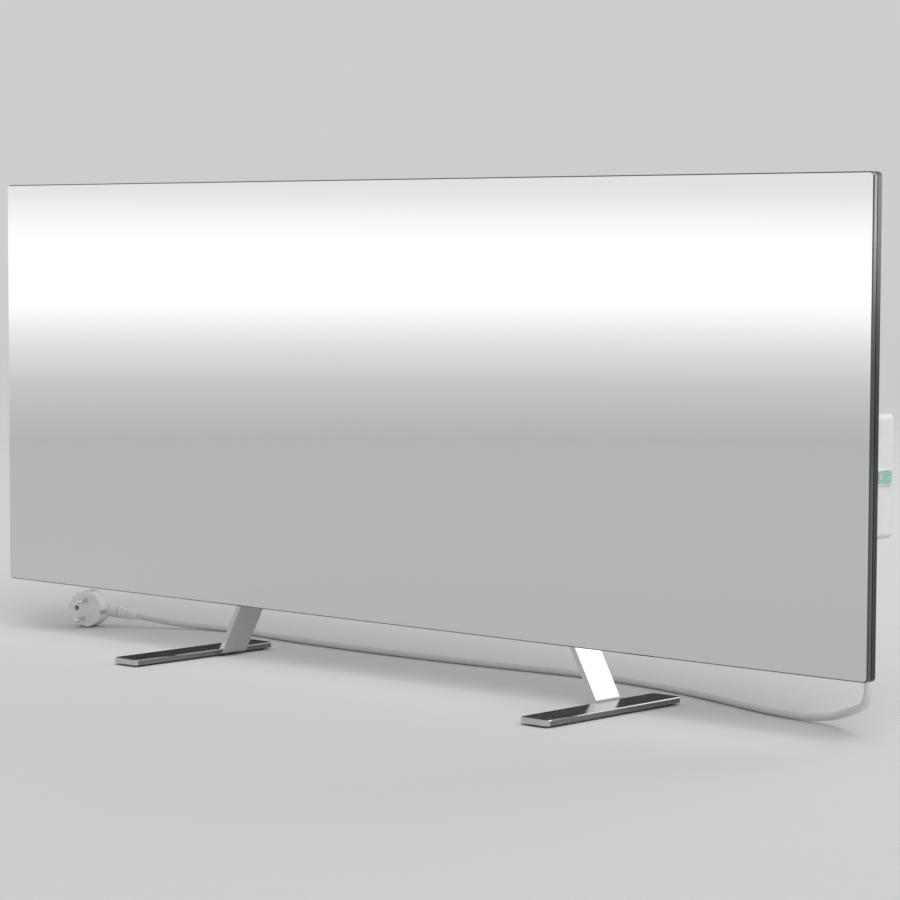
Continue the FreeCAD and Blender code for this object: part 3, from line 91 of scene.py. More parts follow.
# %% Lay the mains cord
CORD_DIAMETER = 6.5 * MM
CORD_ORDER = 3
STEPS_ROUND_CORD = 8
STEPS_BETWEEN_POINTS = 14
CORD_ROUTE = [
    (501.0, 25.0, 133.0),
    (501.0, 25.0, 95.0),
    (506.5, 27.5, 34.0),
    (462.0, 66.0, 17.5),
    (418.0, 90.0, 4.2),
    (365.0, 93.0, 3.4),
    (275.0, 125.0, 3.4),
    (190.0, 147.0, 3.4),
    (105.0, 153.0, 3.4),
    (20.0, 143.5, 3.4),
    (-70.0, 136.5, 3.4),
    (-160.0, 134.0, 3.4),
    (-250.0, 136.0, 3.4),
    (-335.0, 146.5, 3.4),
    (-385.0, 144.0, 3.4),
    (-422.7, 126.7, 5.0),
    (-458.5, 110.0, 11.2),
]


def lay_cord(route):
    """A round curve whose control points are a route in millimetres."""
    curve = bpy.data.curves.new("mains_cord_curve", "CURVE")
    curve.dimensions = "3D"
    # A bevel of one metre, which each point's radius brings down to the cord's own.
    curve.bevel_depth = 1.0
    curve.bevel_resolution = STEPS_ROUND_CORD
    curve.resolution_u = STEPS_BETWEEN_POINTS
    curve.use_fill_caps = True
    spline = curve.splines.new("NURBS")
    spline.points.add(len(route) - 1)
    for point, place in zip(spline.points, route):
        point.co = (*(Vector(place) * MM), 1.0)
        point.radius = CORD_DIAMETER / 2
    spline.order_u = CORD_ORDER
    spline.use_endpoint_u = True
    return bpy.data.objects.new("cord", curve)


cord = lay_cord(CORD_ROUTE)
bpy.context.scene.collection.objects.link(cord)
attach(cord, "heater")
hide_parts("mains_cord")
print("cord with", len(CORD_ROUTE), "control points")

# %% [markdown]
# The backdrop is the world itself, so it has no edge and no shadow. A big curved sheet would do as
# well, but it would have to be larger than every view. The rays that form the picture, from the
# camera, from gloss and through glass, see a plain tone. All other rays see an even white light at a
# plain level.

# %% Backdrop
BACKDROP_COLOR = (0.61, 0.612, 0.61, 1)
SKY_COLOR = (1, 1, 1, 1)
SKY_LIGHT = 0.55


def seen_directly(tree):
    """One for rays from the camera, gloss and glass, which form the picture; zero for stray light."""
    path = tree.nodes.new("ShaderNodeLightPath")
    seen = path.outputs["Is Camera Ray"]
    for kind in ("Is Glossy Ray", "Is Transmission Ray"):
        either = tree.nodes.new("ShaderNodeMath")
        either.operation = "MAXIMUM"
        tree.links.new(seen, either.inputs[0])
        tree.links.new(path.outputs[kind], either.inputs[1])
        seen = either.outputs[0]
    return seen


def paint_sky(world):
    """The backdrop's plain tone, and a plain level for rays that only carry light."""
    world.use_nodes = True
    tree = world.node_tree
    light = tree.nodes["Background"]
    light.inputs["Color"].default_value = SKY_COLOR
    light.inputs["Strength"].default_value = SKY_LIGHT
    shown = tree.nodes.new("ShaderNodeBackground")
    shown.inputs["Color"].default_value = BACKDROP_COLOR
    mix = tree.nodes.new("ShaderNodeMixShader")
    tree.links.new(seen_directly(tree), mix.inputs["Fac"])
    tree.links.new(light.outputs["Background"], mix.inputs[1])
    tree.links.new(shown.outputs["Background"], mix.inputs[2])
    tree.links.new(mix.outputs["Shader"], tree.nodes["World Output"].inputs["Surface"])


world = bpy.data.worlds.new("studio")
bpy.context.scene.world = world
paint_sky(world)
bpy.context.scene.view_settings.view_transform = "Standard"
print("backdrop tone", BACKDROP_COLOR[:3])

# %% [markdown]
# The stage is a plain, pale floor. A square sheet would do, but it ends somewhere, and there a horizon
# would show. So this floor is a wide disc that turns into the backdrop's tone far from the heater. It
# does so only for the rays that form the picture, so it adds no light, and the near floor keeps its
# shadows.

# %% Floor finish
FLOOR_COLOR = (0.63, 0.632, 0.63, 1)
FLOOR_ROUGHNESS = 0.85
FLOOR_SPECULAR = 0.2
FADE_START = 4.0
FADE_END = 14.0


def floor_finish():
    """Pale floor that turns into the backdrop far from the heater."""
    material = bpy.data.materials.new("floor_finish")
    material.use_nodes = True
    tree = material.node_tree
    surface = tree.nodes["Principled BSDF"]
    surface.inputs["Base Color"].default_value = FLOOR_COLOR
    surface.inputs["Roughness"].default_value = FLOOR_ROUGHNESS
    surface.inputs["Specular IOR Level"].default_value = FLOOR_SPECULAR
    place = tree.nodes.new("ShaderNodeTexCoord")
    distance = tree.nodes.new("ShaderNodeVectorMath")
    distance.operation = "LENGTH"
    fade = tree.nodes.new("ShaderNodeMapRange")
    fade.interpolation_type = "SMOOTHSTEP"
    fade.inputs["From Min"].default_value = FADE_START
    fade.inputs["From Max"].default_value = FADE_END
    share = tree.nodes.new("ShaderNodeMath")
    share.operation = "MULTIPLY"
    far = tree.nodes.new("ShaderNodeEmission")
    far.inputs["Color"].default_value = BACKDROP_COLOR
    mix = tree.nodes.new("ShaderNodeMixShader")
    tree.links.new(place.outputs["Object"], distance.inputs[0])
    tree.links.new(distance.outputs["Value"], fade.inputs["Value"])
    tree.links.new(fade.outputs["Result"], share.inputs[0])
    tree.links.new(seen_directly(tree), share.inputs[1])
    tree.links.new(share.outputs[0], mix.inputs["Fac"])
    tree.links.new(surface.outputs["BSDF"], mix.inputs[1])
    tree.links.new(far.outputs["Emission"], mix.inputs[2])
    tree.links.new(mix.outputs["Shader"], tree.nodes["Material Output"].inputs["Surface"])
    return material


floor_material = floor_finish()
print("floor fades from", FADE_START, "to", FADE_END, "metres")

# %% Floor
FLOOR_RADIUS = 40.0
FLOOR_SIDES = 96


def link_piece(mesh_builder, name, material):
    """Turns a bmesh into an object of that name with one material, and frees the bmesh."""
    mesh = bpy.data.meshes.new(name)
    mesh_builder.to_mesh(mesh)
    mesh_builder.free()
    mesh.materials.append(material)
    piece = bpy.data.objects.new(name, mesh)
    bpy.context.scene.collection.objects.link(piece)
    return piece


floor_builder = bmesh.new()
bmesh.ops.create_circle(floor_builder, cap_ends=True, segments=FLOOR_SIDES, radius=FLOOR_RADIUS)
floor = link_piece(floor_builder, "floor", floor_material)
print("floor of", FLOOR_SIDES, "sides")

# %% [markdown]
# A mirror shows whatever stands in front of it, so the look of the glass is made here. A low curved
# light wall goes round the front of the heater. It is brightest about a third of a metre above the
# floor, a little less bright higher up, and slopes into the floor's tone at its foot. The mirror
# turns it into one white band near its top. A studio does the same with a long strip light. A
# painted gradient on the glass would stick to it when the camera moves, and this doesn't.

# %% Glow that follows height
# Pairs of a height in metres and the glow there.
FRONT_TONES = [
    (0.00, 0.62),
    (0.02, 0.66),
    (0.05, 0.74),
    (0.10, 0.88),
    (0.15, 1.00),
    (0.20, 1.18),
    (0.25, 1.38),
    (0.38, 1.40),
    (0.44, 1.30),
    (0.53, 1.03),
    (1.60, 1.00),
]


def wall_finish(name, tones):
    """Light whose strength follows the height above the floor."""
    top = tones[-1][0]
    brightest = max(tone for level, tone in tones)
    material = bpy.data.materials.new(name)
    material.use_nodes = True
    tree = material.node_tree
    tree.nodes.remove(tree.nodes["Principled BSDF"])
    place = tree.nodes.new("ShaderNodeTexCoord")
    split = tree.nodes.new("ShaderNodeSeparateXYZ")
    height = tree.nodes.new("ShaderNodeMapRange")
    height.inputs["From Max"].default_value = top
    ramp = tree.nodes.new("ShaderNodeValToRGB")
    ramp.color_ramp.interpolation = "LINEAR"
    while len(ramp.color_ramp.elements) < len(tones):
        ramp.color_ramp.elements.new(1.0)
    for element, (level, tone) in zip(ramp.color_ramp.elements, tones):
        element.position = level / top
        element.color = (*[tone / brightest] * 3, 1)
    glow = tree.nodes.new("ShaderNodeEmission")
    glow.inputs["Strength"].default_value = brightest
    tree.links.new(place.outputs["Object"], split.inputs["Vector"])
    tree.links.new(split.outputs["Z"], height.inputs["Value"])
    tree.links.new(height.outputs["Result"], ramp.inputs["Fac"])
    tree.links.new(ramp.outputs["Color"], glow.inputs["Color"])
    tree.links.new(glow.outputs["Emission"], tree.nodes["Material Output"].inputs["Surface"])
    return material


front_finish = wall_finish("front_wall_finish", FRONT_TONES)
print("front wall glows at", max(tone for level, tone in FRONT_TONES), "where it is brightest")

# %% Wall in front of the mirror
WALL_STEP = 3.0
# Points of a radius and a height, both in metres.
FRONT_PROFILE = [(3.4, 0.0), (4.5, 0.06), (4.5, 1.6)]


def show_to_gloss_only(piece):
    """Keeps a glowing piece of the stage out of the picture and out of the light on the floor."""
    piece.visible_camera = False
    piece.visible_diffuse = False
    piece.visible_shadow = False


def light_wall(name, profile, finish, start, sweep):
    """Spins a profile round the heater, from a start angle through a sweep, both in degrees."""
    builder = bmesh.new()
    verts = [builder.verts.new((radius, 0, height)) for radius, height in profile]
    edges = [builder.edges.new(pair) for pair in zip(verts, verts[1:])]
    turn = Matrix.Rotation(math.radians(start), 3, "Z")
    bmesh.ops.rotate(builder, verts=verts, cent=(0, 0, 0), matrix=turn)
    bmesh.ops.spin(
        builder,
        geom=verts + edges,
        cent=(0, 0, 0),
        axis=(0, 0, 1),
        angle=math.radians(sweep),
        steps=round(sweep / WALL_STEP),
    )
    wall = link_piece(builder, name, finish)
    show_to_gloss_only(wall)
    print(name, "with", len(wall.data.polygons), "faces")


light_wall("front_wall", FRONT_PROFILE, front_finish, start=150, sweep=240)

# %% [markdown]
# Three short walls behind the heater do the same for its metal. A bright one is for the cut edge of
# the panel, and a dark one for the flat bars of the feet. The slanted metal of the right-hand foot
# shows plain white in the photograph, so the third hangs high, just where that metal mirrors it. It
# fades upwards, because the bar below mirrors the slanted metal in turn, and that image is grey.

# %% Walls behind the metal
EDGE_PROFILE = [(3.4, 0.0), (3.4, 1.2)]
EDGE_TONES = [(0.00, 0.5), (0.18, 0.5), (0.28, 1.1), (0.42, 3.6), (1.20, 3.6)]
DARK_PROFILE = [(3.4, 0.0), (3.4, 1.1)]
DARK_TONES = [(0.00, 0.03), (0.80, 0.03), (1.10, 0.6)]
HIGH_PROFILE = [(3.4, 1.2), (3.4, 3.2)]
HIGH_TONES = [(0.0, 2.2), (2.0, 2.2), (2.7, 1.1), (3.2, 0.6)]

edge_finish = wall_finish("edge_wall_finish", EDGE_TONES)
dark_finish = wall_finish("dark_wall_finish", DARK_TONES)
high_finish = wall_finish("high_wall_finish", HIGH_TONES)
light_wall("edge_wall", EDGE_PROFILE, edge_finish, start=36, sweep=27)
light_wall("dark_wall", DARK_PROFILE, dark_finish, start=114, sweep=36)
light_wall("high_wall", HIGH_PROFILE, high_finish, start=45, sweep=42)

# %% [markdown]
# The key light is a very wide sun, which lights the whole floor evenly and throws soft shadows. A
# weak, large softbox behind the heater opens up the shadow side. Neither shows in the picture, and
# the softbox stays out of the gloss as well, or it would draw a white line along the feet.

# %% Lights
# A sun's strength is in watts per square metre, and a softbox's in watts.
AIM = Vector((0, 0, 200)) * MM
KEY_FROM = Vector((0.55, -0.5, 0.67))
KEY_STRENGTH = 1.75
KEY_WIDTH = math.radians(40)
REAR_PLACE = Vector((0.6, 3.0, 2.2))
REAR_SIZE = 2.2
REAR_STRENGTH = 20


def add_lamp(name, kind, place, in_gloss):
    """A lamp at a place, turned towards the heater and hidden from the camera."""
    data = bpy.data.lights.new(name, kind)
    lamp = bpy.data.objects.new(name, data)
    bpy.context.scene.collection.objects.link(lamp)
    lamp.location = place
    lamp.rotation_mode = "QUATERNION"
    lamp.rotation_quaternion = (AIM - place).to_track_quat("-Z", "Y")
    lamp.visible_camera = False
    lamp.visible_glossy = in_gloss
    return data


key_light = add_lamp("key_light", "SUN", AIM + KEY_FROM, in_gloss=True)
key_light.energy = KEY_STRENGTH
key_light.angle = KEY_WIDTH
rear_light = add_lamp("rear_light", "AREA", REAR_PLACE, in_gloss=False)
rear_light.size = REAR_SIZE
rear_light.energy = REAR_STRENGTH

# %% [markdown]
# A few helpers keep each finish short. Every pattern reads the piece's own coordinates in metres, so
# a grain of half a millimetre is half a millimetre on every piece. Numbers that are the same all
# over a surface go straight onto the shader's own sockets. The noise seldom leaves the middle of its
# range, so colour and gloss are spread over that middle part.

# %% Start a finish


def new_finish(name, metallic=0.0):
    """A material, the tree that its pattern nodes go into, and its shader."""
    material = bpy.data.materials.new(name)
    material.use_nodes = True
    tree = material.node_tree
    shader = tree.nodes["Principled BSDF"]
    shader.inputs["Metallic"].default_value = metallic
    return material, tree, shader


def dress(material, *names):
    """Gives CAD nodes their finish."""
    for name in names:
        slots = nodes[name].data.materials
        slots.clear()
        slots.append(material)
    print(material.name, "on", ", ".join(names))


print("CAD nodes to dress", len(nodes))

# %% Patterns
EVEN = (1, 1, 1)
NOISE_LOW = 0.3
NOISE_HIGH = 0.7


def grain(tree, size, stretch=EVEN, detail=3.0):
    """Noise whose spots measure about size metres, drawn out along an axis where stretch is small."""
    place = tree.nodes.new("ShaderNodeTexCoord")
    mapping = tree.nodes.new("ShaderNodeMapping")
    mapping.inputs["Scale"].default_value = stretch
    noise = tree.nodes.new("ShaderNodeTexNoise")
    noise.inputs["Scale"].default_value = 1 / size
    noise.inputs["Detail"].default_value = detail
    tree.links.new(place.outputs["Object"], mapping.inputs["Vector"])
    tree.links.new(mapping.outputs["Vector"], noise.inputs["Vector"])
    return noise.outputs["Fac"]


def tint(tree, shader, pattern, darker, lighter):
    """Lets the base colour wander between two shades."""
    ramp = tree.nodes.new("ShaderNodeValToRGB")
    ramp.color_ramp.elements[0].position = NOISE_LOW
    ramp.color_ramp.elements[0].color = (*darker, 1)
    ramp.color_ramp.elements[1].position = NOISE_HIGH
    ramp.color_ramp.elements[1].color = (*lighter, 1)
    tree.links.new(pattern, ramp.inputs["Fac"])
    tree.links.new(ramp.outputs["Color"], shader.inputs["Base Color"])


def uneven_gloss(tree, shader, pattern, low, high):
    """Lets the roughness wander between two values."""
    spread = tree.nodes.new("ShaderNodeMapRange")
    spread.inputs["From Min"].default_value = NOISE_LOW
    spread.inputs["From Max"].default_value = NOISE_HIGH
    spread.inputs["To Min"].default_value = low
    spread.inputs["To Max"].default_value = high
    tree.links.new(pattern, spread.inputs["Value"])
    tree.links.new(spread.outputs["Result"], shader.inputs["Roughness"])


print("patterns use the noise from", NOISE_LOW, "to", NOISE_HIGH)

# %% [markdown]
# The front is toughened glass with a mirror coat on it. A true sheet of glass over a silvered layer
# would need two shells, but a mirror with a little unevenness in its gloss reads the same. The cut
# edges aren't coated, so they stay dark. The face and the edges are told apart by where the surface
# points.

# %% Mirror glass
MIRROR_COLOR = (0.72, 0.725, 0.725)
GLASS_EDGE_DARKER = (0.028, 0.032, 0.030)
GLASS_EDGE_LIGHTER = (0.032, 0.036, 0.034)
FACE_SHARE = 0.8
GLASS_COAT = 0.7
GLASS_COAT_ROUGHNESS = 0.02


def facing(tree, axis, share):
    """One where the surface points along an axis, either way, and zero elsewhere."""
    surface = tree.nodes.new("ShaderNodeNewGeometry")
    split = tree.nodes.new("ShaderNodeSeparateXYZ")
    along = tree.nodes.new("ShaderNodeMath")
    along.operation = "ABSOLUTE"
    limit = tree.nodes.new("ShaderNodeMath")
    limit.operation = "GREATER_THAN"
    limit.inputs[1].default_value = share
    tree.links.new(surface.outputs["Normal"], split.inputs["Vector"])
    tree.links.new(split.outputs[axis], along.inputs[0])
    tree.links.new(along.outputs[0], limit.inputs[0])
    return limit.outputs[0]


def cover(tree, shader, mask, color):
    """Lays a colour over the tinted one where the mask is one."""
    over = tree.nodes.new("ShaderNodeMix")
    over.data_type = "RGBA"
    over.inputs["B"].default_value = (*color, 1)
    tinted = shader.inputs["Base Color"].links[0].from_socket
    tree.links.new(mask, over.inputs["Factor"])
    tree.links.new(tinted, over.inputs["A"])
    tree.links.new(over.outputs["Result"], shader.inputs["Base Color"])


def mirror_glass():
    """Mirror on the flat face, dark polished glass around its edge."""
    material, tree, shader = new_finish("mirror_glass")
    waves = grain(tree, size=120 * MM)
    face = facing(tree, "Y", FACE_SHARE)
    tint(tree, shader, waves, GLASS_EDGE_DARKER, GLASS_EDGE_LIGHTER)
    cover(tree, shader, face, MIRROR_COLOR)
    tree.links.new(face, shader.inputs["Metallic"])
    uneven_gloss(tree, shader, waves, low=0.02, high=0.05)
    shader.inputs["Coat Weight"].default_value = GLASS_COAT
    shader.inputs["Coat Roughness"].default_value = GLASS_COAT_ROUGHNESS
    return material


dress(mirror_glass(), "front_glass")

# %% [markdown]
# The frame behind the glass is dark anodised aluminium with fine lines along each bar from drawing
# the profile. Noise that is drawn out along the bar makes such lines, in the gloss and as a very
# shallow relief. The level and the upright bars need one finish each, with the lines turned.

# %% Anodised frame
DRAWN_ALONG_X = (0.02, 1, 1)
DRAWN_ALONG_Z = (1, 1, 0.02)


def relief(tree, shader, pattern, depth, strength=1.0):
    """A shallow bump of about depth metres."""
    bump = tree.nodes.new("ShaderNodeBump")
    bump.inputs["Distance"].default_value = depth
    bump.inputs["Strength"].default_value = strength
    tree.links.new(pattern, bump.inputs["Height"])
    tree.links.new(bump.outputs["Normal"], shader.inputs["Normal"])


def dark_anodised(name, stretch):
    """Near-black anodised aluminium, drawn in one direction."""
    material, tree, shader = new_finish(name, metallic=0.9)
    lines = grain(tree, size=0.8 * MM, stretch=stretch)
    tint(tree, shader, lines, darker=(0.055, 0.056, 0.057), lighter=(0.075, 0.077, 0.078))
    uneven_gloss(tree, shader, lines, low=0.14, high=0.22)
    relief(tree, shader, lines, depth=0.02 * MM)
    return material


dress(dark_anodised("anodised_level", DRAWN_ALONG_X), "frame_bottom", "frame_top")
dress(dark_anodised("anodised_upright", DRAWN_ALONG_Z), "frame_left", "frame_right", "corner_keys")

# %% [markdown]
# The feet are plate with a bright satin chrome finish. The side faces that point along X get a darker
# colour, which is painted shade for the shaded floor that they mirror. Chrome is a metal, so most of
# its look is what it mirrors, and the fine streaks only change its gloss and relief a little.

# %% Chromed feet
SATIN_ALONG_Y = (1, 0.06, 1)
# Painted shade: the colour of the faces that point along X, and how nearly along X they must point.
SHADED_SIDE_COLOR = (0.21, 0.212, 0.215)
SHADED_SIDE_SHARE = 0.95


def satin_chrome():
    """Bright plated plate with a fine satin grain, and painted shade on its side faces."""
    material, tree, shader = new_finish("satin_chrome", metallic=1.0)
    clouds = grain(tree, size=20 * MM)
    tint(tree, shader, clouds, darker=(0.56, 0.565, 0.57), lighter=(0.58, 0.585, 0.59))
    # Painted shade on the side faces, which stands for the shaded floor that they mirror.
    cover(tree, shader, facing(tree, "X", SHADED_SIDE_SHARE), SHADED_SIDE_COLOR)
    fine = grain(tree, size=0.6 * MM, stretch=SATIN_ALONG_Y)
    uneven_gloss(tree, shader, fine, low=0.10, high=0.20)
    relief(tree, shader, fine, depth=0.006 * MM)
    return material


dress(satin_chrome(), "foot_right", "foot_left")

# %% [markdown]
# The small metal pieces are zinc, copper, tinned brass and nickel. Plating and rolling leave a shade
# that drifts over a few millimetres, and finer specks in the gloss. One helper makes that, and each
# metal adds its own shades and sizes.

# %% Small metal pieces


def small_metal(name, darker, lighter, low, high, spots, specks, stretch=EVEN):
    """A shade that drifts in spots, and a gloss that varies in finer specks."""
    material, tree, shader = new_finish(name, metallic=1.0)
    tint(tree, shader, grain(tree, spots, stretch), darker, lighter)
    uneven_gloss(tree, shader, grain(tree, specks, stretch), low, high)
    return material


def zinc_plated():
    """Screws and nuts: grey zinc with a faint yellow and blue cast."""
    return small_metal(
        "zinc_plated",
        darker=(0.60, 0.62, 0.66),
        lighter=(0.70, 0.68, 0.60),
        low=0.22,
        high=0.38,
        spots=3 * MM,
        specks=0.5 * MM,
    )


def copper_strip():
    """Rolled copper for the bus bars."""
    return small_metal(
        "copper_strip",
        darker=(0.66, 0.36, 0.22),
        lighter=(0.78, 0.48, 0.32),
        low=0.22,
        high=0.4,
        spots=10 * MM,
        specks=1 * MM,
        stretch=DRAWN_ALONG_X,
    )


def tinned_brass():
    """Switch blades and terminal screws."""
    return small_metal(
        "tinned_brass",
        darker=(0.70, 0.67, 0.58),
        lighter=(0.80, 0.77, 0.68),
        low=0.2,
        high=0.36,
        spots=4 * MM,
        specks=0.6 * MM,
    )


def nickel_plated():
    """The plug's pins and earth strips."""
    return small_metal(
        "nickel_plated",
        darker=(0.68, 0.67, 0.63),
        lighter=(0.76, 0.75, 0.71),
        low=0.12,
        high=0.26,
        spots=5 * MM,
        specks=0.7 * MM,
    )


screw_finish = zinc_plated()
dress(screw_finish, "back_cover_screws", "weld_nuts", "foot_screws", "control_box_screws")
dress(screw_finish, "box_fixing_screws", "clamp_screws")
dress(copper_strip(), "bus_bars")
dress(tinned_brass(), "switch_tabs", "terminal_screws")
dress(nickel_plated(), "plug_pins", "plug_earth_contacts")

# %% [markdown]
# The back cover is sheet steel with a light powder coat, which sets with a fine orange-peel skin. A
# plain colour with some gloss would do from far away, but the skin shows where light comes in flat.
# So noise with spots of about a millimetre goes into the gloss and into a shallow bump.

# %% Painted back cover


def powder_coat():
    """Light grey powder paint."""
    material, tree, shader = new_finish("powder_coat")
    drift = grain(tree, size=60 * MM)
    tint(tree, shader, drift, darker=(0.700, 0.700, 0.690), lighter=(0.715, 0.715, 0.705))
    peel = grain(tree, size=1.1 * MM, detail=1.5)
    uneven_gloss(tree, shader, peel, low=0.42, high=0.58)
    relief(tree, shader, peel, depth=0.12 * MM, strength=0.5)
    return material


dress(powder_coat(), "back_cover")

# %% [markdown]
# The control box is off-white moulded plastic with a spark-eroded texture, a little finer than the
# paint. The switch comes from a polished mould, so its texture is shallower, and its rocker is
# translucent green. Clear plastic with a lamp behind it would be slow to render, and a little
# scattering under the surface looks the same from outside.

# %% Moulded control box and switch
MOULD_DRIFT = 15 * MM
MOULD_TEXTURE = 0.5 * MM
MOULD_DEPTH = 0.03 * MM
POLISHED_DEPTH = 0.01 * MM
LENS_SCATTER = 0.3
LENS_SCATTER_REACH = (1.0 * MM, 2.0 * MM, 1.5 * MM)
LENS_COAT = 0.3


def moulded(name, darker, lighter, low, high, texture=MOULD_TEXTURE, depth=MOULD_DEPTH):
    """Moulded plastic: a small drift of shade, and the mould's texture in its gloss and relief."""
    material, tree, shader = new_finish(name)
    tint(tree, shader, grain(tree, MOULD_DRIFT), darker, lighter)
    skin = grain(tree, texture, detail=2.0)
    uneven_gloss(tree, shader, skin, low, high)
    relief(tree, shader, skin, depth, strength=0.6)
    return material


def box_plastic():
    """Off-white control box."""
    return moulded(
        "box_plastic",
        darker=(0.68, 0.69, 0.67),
        lighter=(0.72, 0.73, 0.71),
        low=0.4,
        high=0.55,
    )


def switch_plastic():
    """The switch's housing, smoother than the box."""
    return moulded(
        "switch_plastic",
        darker=(0.72, 0.725, 0.71),
        lighter=(0.77, 0.775, 0.76),
        low=0.24,
        high=0.32,
        depth=POLISHED_DEPTH,
    )


def green_lens():
    """Translucent green rocker that lets a little light in."""
    material = moulded(
        "green_lens",
        darker=(0.27, 0.50, 0.40),
        lighter=(0.34, 0.59, 0.48),
        low=0.16,
        high=0.24,
        depth=POLISHED_DEPTH,
    )
    shader = material.node_tree.nodes["Principled BSDF"]
    shader.inputs["Subsurface Weight"].default_value = LENS_SCATTER
    shader.inputs["Subsurface Radius"].default_value = LENS_SCATTER_REACH
    shader.inputs["Coat Weight"].default_value = LENS_COAT
    return material


dress(box_plastic(), "control_box_base", "control_box_cover")
switch_finish = switch_plastic()
dress(switch_finish, "switch_body")
dress(green_lens(), "switch_rocker")

# %% [markdown]
# Inside the box, the terminal block and the cord clamp are natural nylon, and the cut-out that guards
# against overheating has a black case. They only show when the cover is off, so they need no texture
# of their own and take the box's.

# %% Moulded pieces inside the box


def nylon():
    """Terminal block and cord clamp."""
    return moulded(
        "nylon",
        darker=(0.62, 0.61, 0.55),
        lighter=(0.70, 0.69, 0.63),
        low=0.4,
        high=0.55,
    )


def cutout_case():
    """Black case of the over-temperature cut-out."""
    return moulded(
        "cutout_case",
        darker=(0.018, 0.018, 0.02),
        lighter=(0.03, 0.03, 0.033),
        low=0.25,
        high=0.4,
    )


dress(nylon(), "terminal_block", "cord_clamp")
dress(cutout_case(), "thermal_cutout")

# %% [markdown]
# Soft plastics and rubbers come next. The cord's PVC is light grey with a silky gloss, the plug is a
# shade whiter, and the pads under the feet are matt black. Cloth and leather need weaves and creases,
# but these are moulded too, so the same helper makes them.

# %% Cord, plug and rubber


def cord_pvc():
    """Light grey cord and its gland."""
    return moulded(
        "cord_pvc",
        darker=(0.69, 0.695, 0.68),
        lighter=(0.74, 0.745, 0.73),
        low=0.34,
        high=0.46,
        texture=1.5 * MM,
    )


def plug_pvc():
    """Pale moulded plug."""
    return moulded(
        "plug_pvc",
        darker=(0.84, 0.845, 0.83),
        lighter=(0.88, 0.885, 0.87),
        low=0.30,
        high=0.42,
    )


def black_rubber():
    """Matt rubber of the pads and the grommet."""
    return moulded(
        "black_rubber",
        darker=(0.018, 0.018, 0.018),
        lighter=(0.032, 0.032, 0.032),
        low=0.65,
        high=0.85,
        depth=0.06 * MM,
    )


cord_finish = cord_pvc()
dress(cord_finish, "cord_gland", "cord_tail", "mains_cord")
cord.data.materials.append(cord_finish)
dress(plug_pvc(), "plug_body")
dress(black_rubber(), "foot_pads", "lead_grommet")

# %% [markdown]
# The seal, the leads, the heating film and the insulation sit inside the panel, but they get their
# own finishes too, for anyone who opens it. The film has faint printed stripes along the panel, and
# the board is pressed fibre, so both use noise that is drawn out sideways.

# %% Inside the panel
PRINTED_ALONG_X = (0.01, 1, 1)
FIBRES_ALONG_X = (0.25, 1, 1)
BOARD_ROUGHNESS = 0.95


def silicone_bead():
    """Dark silicone between glass and frame."""
    return moulded(
        "silicone_bead",
        darker=(0.022, 0.022, 0.022),
        lighter=(0.035, 0.035, 0.035),
        low=0.4,
        high=0.6,
        texture=4 * MM,
    )


def lead_sleeve():
    """Red-brown sleeves of the heating leads."""
    return moulded(
        "lead_sleeve",
        darker=(0.42, 0.09, 0.06),
        lighter=(0.52, 0.13, 0.09),
        low=0.45,
        high=0.6,
    )


def heating_film():
    """Carbon-dark film with faint printed stripes."""
    material, tree, shader = new_finish("heating_film")
    stripes = grain(tree, size=10 * MM, stretch=PRINTED_ALONG_X)
    tint(tree, shader, stripes, darker=(0.02, 0.018, 0.016), lighter=(0.06, 0.055, 0.05))
    uneven_gloss(tree, shader, stripes, low=0.4, high=0.6)
    return material


def mineral_board():
    """Pressed mineral fibre."""
    material, tree, shader = new_finish("mineral_board")
    shader.inputs["Roughness"].default_value = BOARD_ROUGHNESS
    fibres = grain(tree, size=2 * MM, stretch=FIBRES_ALONG_X, detail=6.0)
    tint(tree, shader, fibres, darker=(0.55, 0.47, 0.28), lighter=(0.75, 0.68, 0.47))
    relief(tree, shader, fibres, depth=0.6 * MM)
    return material


dress(silicone_bead(), "glass_seal")
dress(lead_sleeve(), "element_leads")
dress(heating_film(), "heating_film")
dress(mineral_board(), "insulation_board")

# %% [markdown]
# The screws that can be seen from behind get finer shapes than the plain ones of the model. Their
# places and sizes are read from the model's own screws. Each node holds several of them in one mesh,
# so the mesh is taken apart into its loose solids first, on a merged copy.

# %% Find the screws of the model
SAME_POINT = 0.01 * MM
PLACE_DIGITS = 4
SCREW_NODES = ["back_cover_screws", "control_box_screws", "foot_screws"]


def islands(node):
    """The low and high corners of each loose solid in a CAD node, from left to right."""
    builder = bmesh.new()
    builder.from_mesh(node.data)
    bmesh.ops.remove_doubles(builder, verts=builder.verts, dist=SAME_POINT)
    waiting = set(builder.verts)
    boxes = []
    while waiting:
        group = [waiting.pop()]
        for vert in group:
            near = {edge.other_vert(vert) for edge in vert.link_edges} & waiting
            waiting -= near
            group.extend(near)
        low = Vector([min(vert.co[axis] for vert in group) for axis in range(3)])
        high = Vector([max(vert.co[axis] for vert in group) for axis in range(3)])
        boxes.append((low, high))
    builder.free()
    return sorted(boxes, key=lambda box: (round(box[0].x, PLACE_DIGITS), round(box[0].z, PLACE_DIGITS)))


screw_boxes = {name: islands(nodes[name]) for name in SCREW_NODES}
print("screws found", {name: len(boxes) for name, boxes in screw_boxes.items()})

# %% [markdown]
# A screw is built from loops, from its tip up to the floor of its recess, and each loop is bridged to
# the next one. Cutting the recess out with a boolean would also work, but it leaves long thin faces
# on the dome. Bridging goes best between loops of as many points, so the circle, the hexagon and the
# cross all have the same number.

# %% Outlines of a screw
LOOP_POINTS = 24
HEXAGON_SIDES = 6
CROSS_HALF_WIDTH = 0.24
CROSS_MID_ARM = 0.6


def circle_outline(radius):
    """Points of a circle, as (x, z) pairs."""
    turns = [2 * math.pi * index / LOOP_POINTS for index in range(LOOP_POINTS)]
    return [(radius * math.cos(turn), radius * math.sin(turn)) for turn in turns]


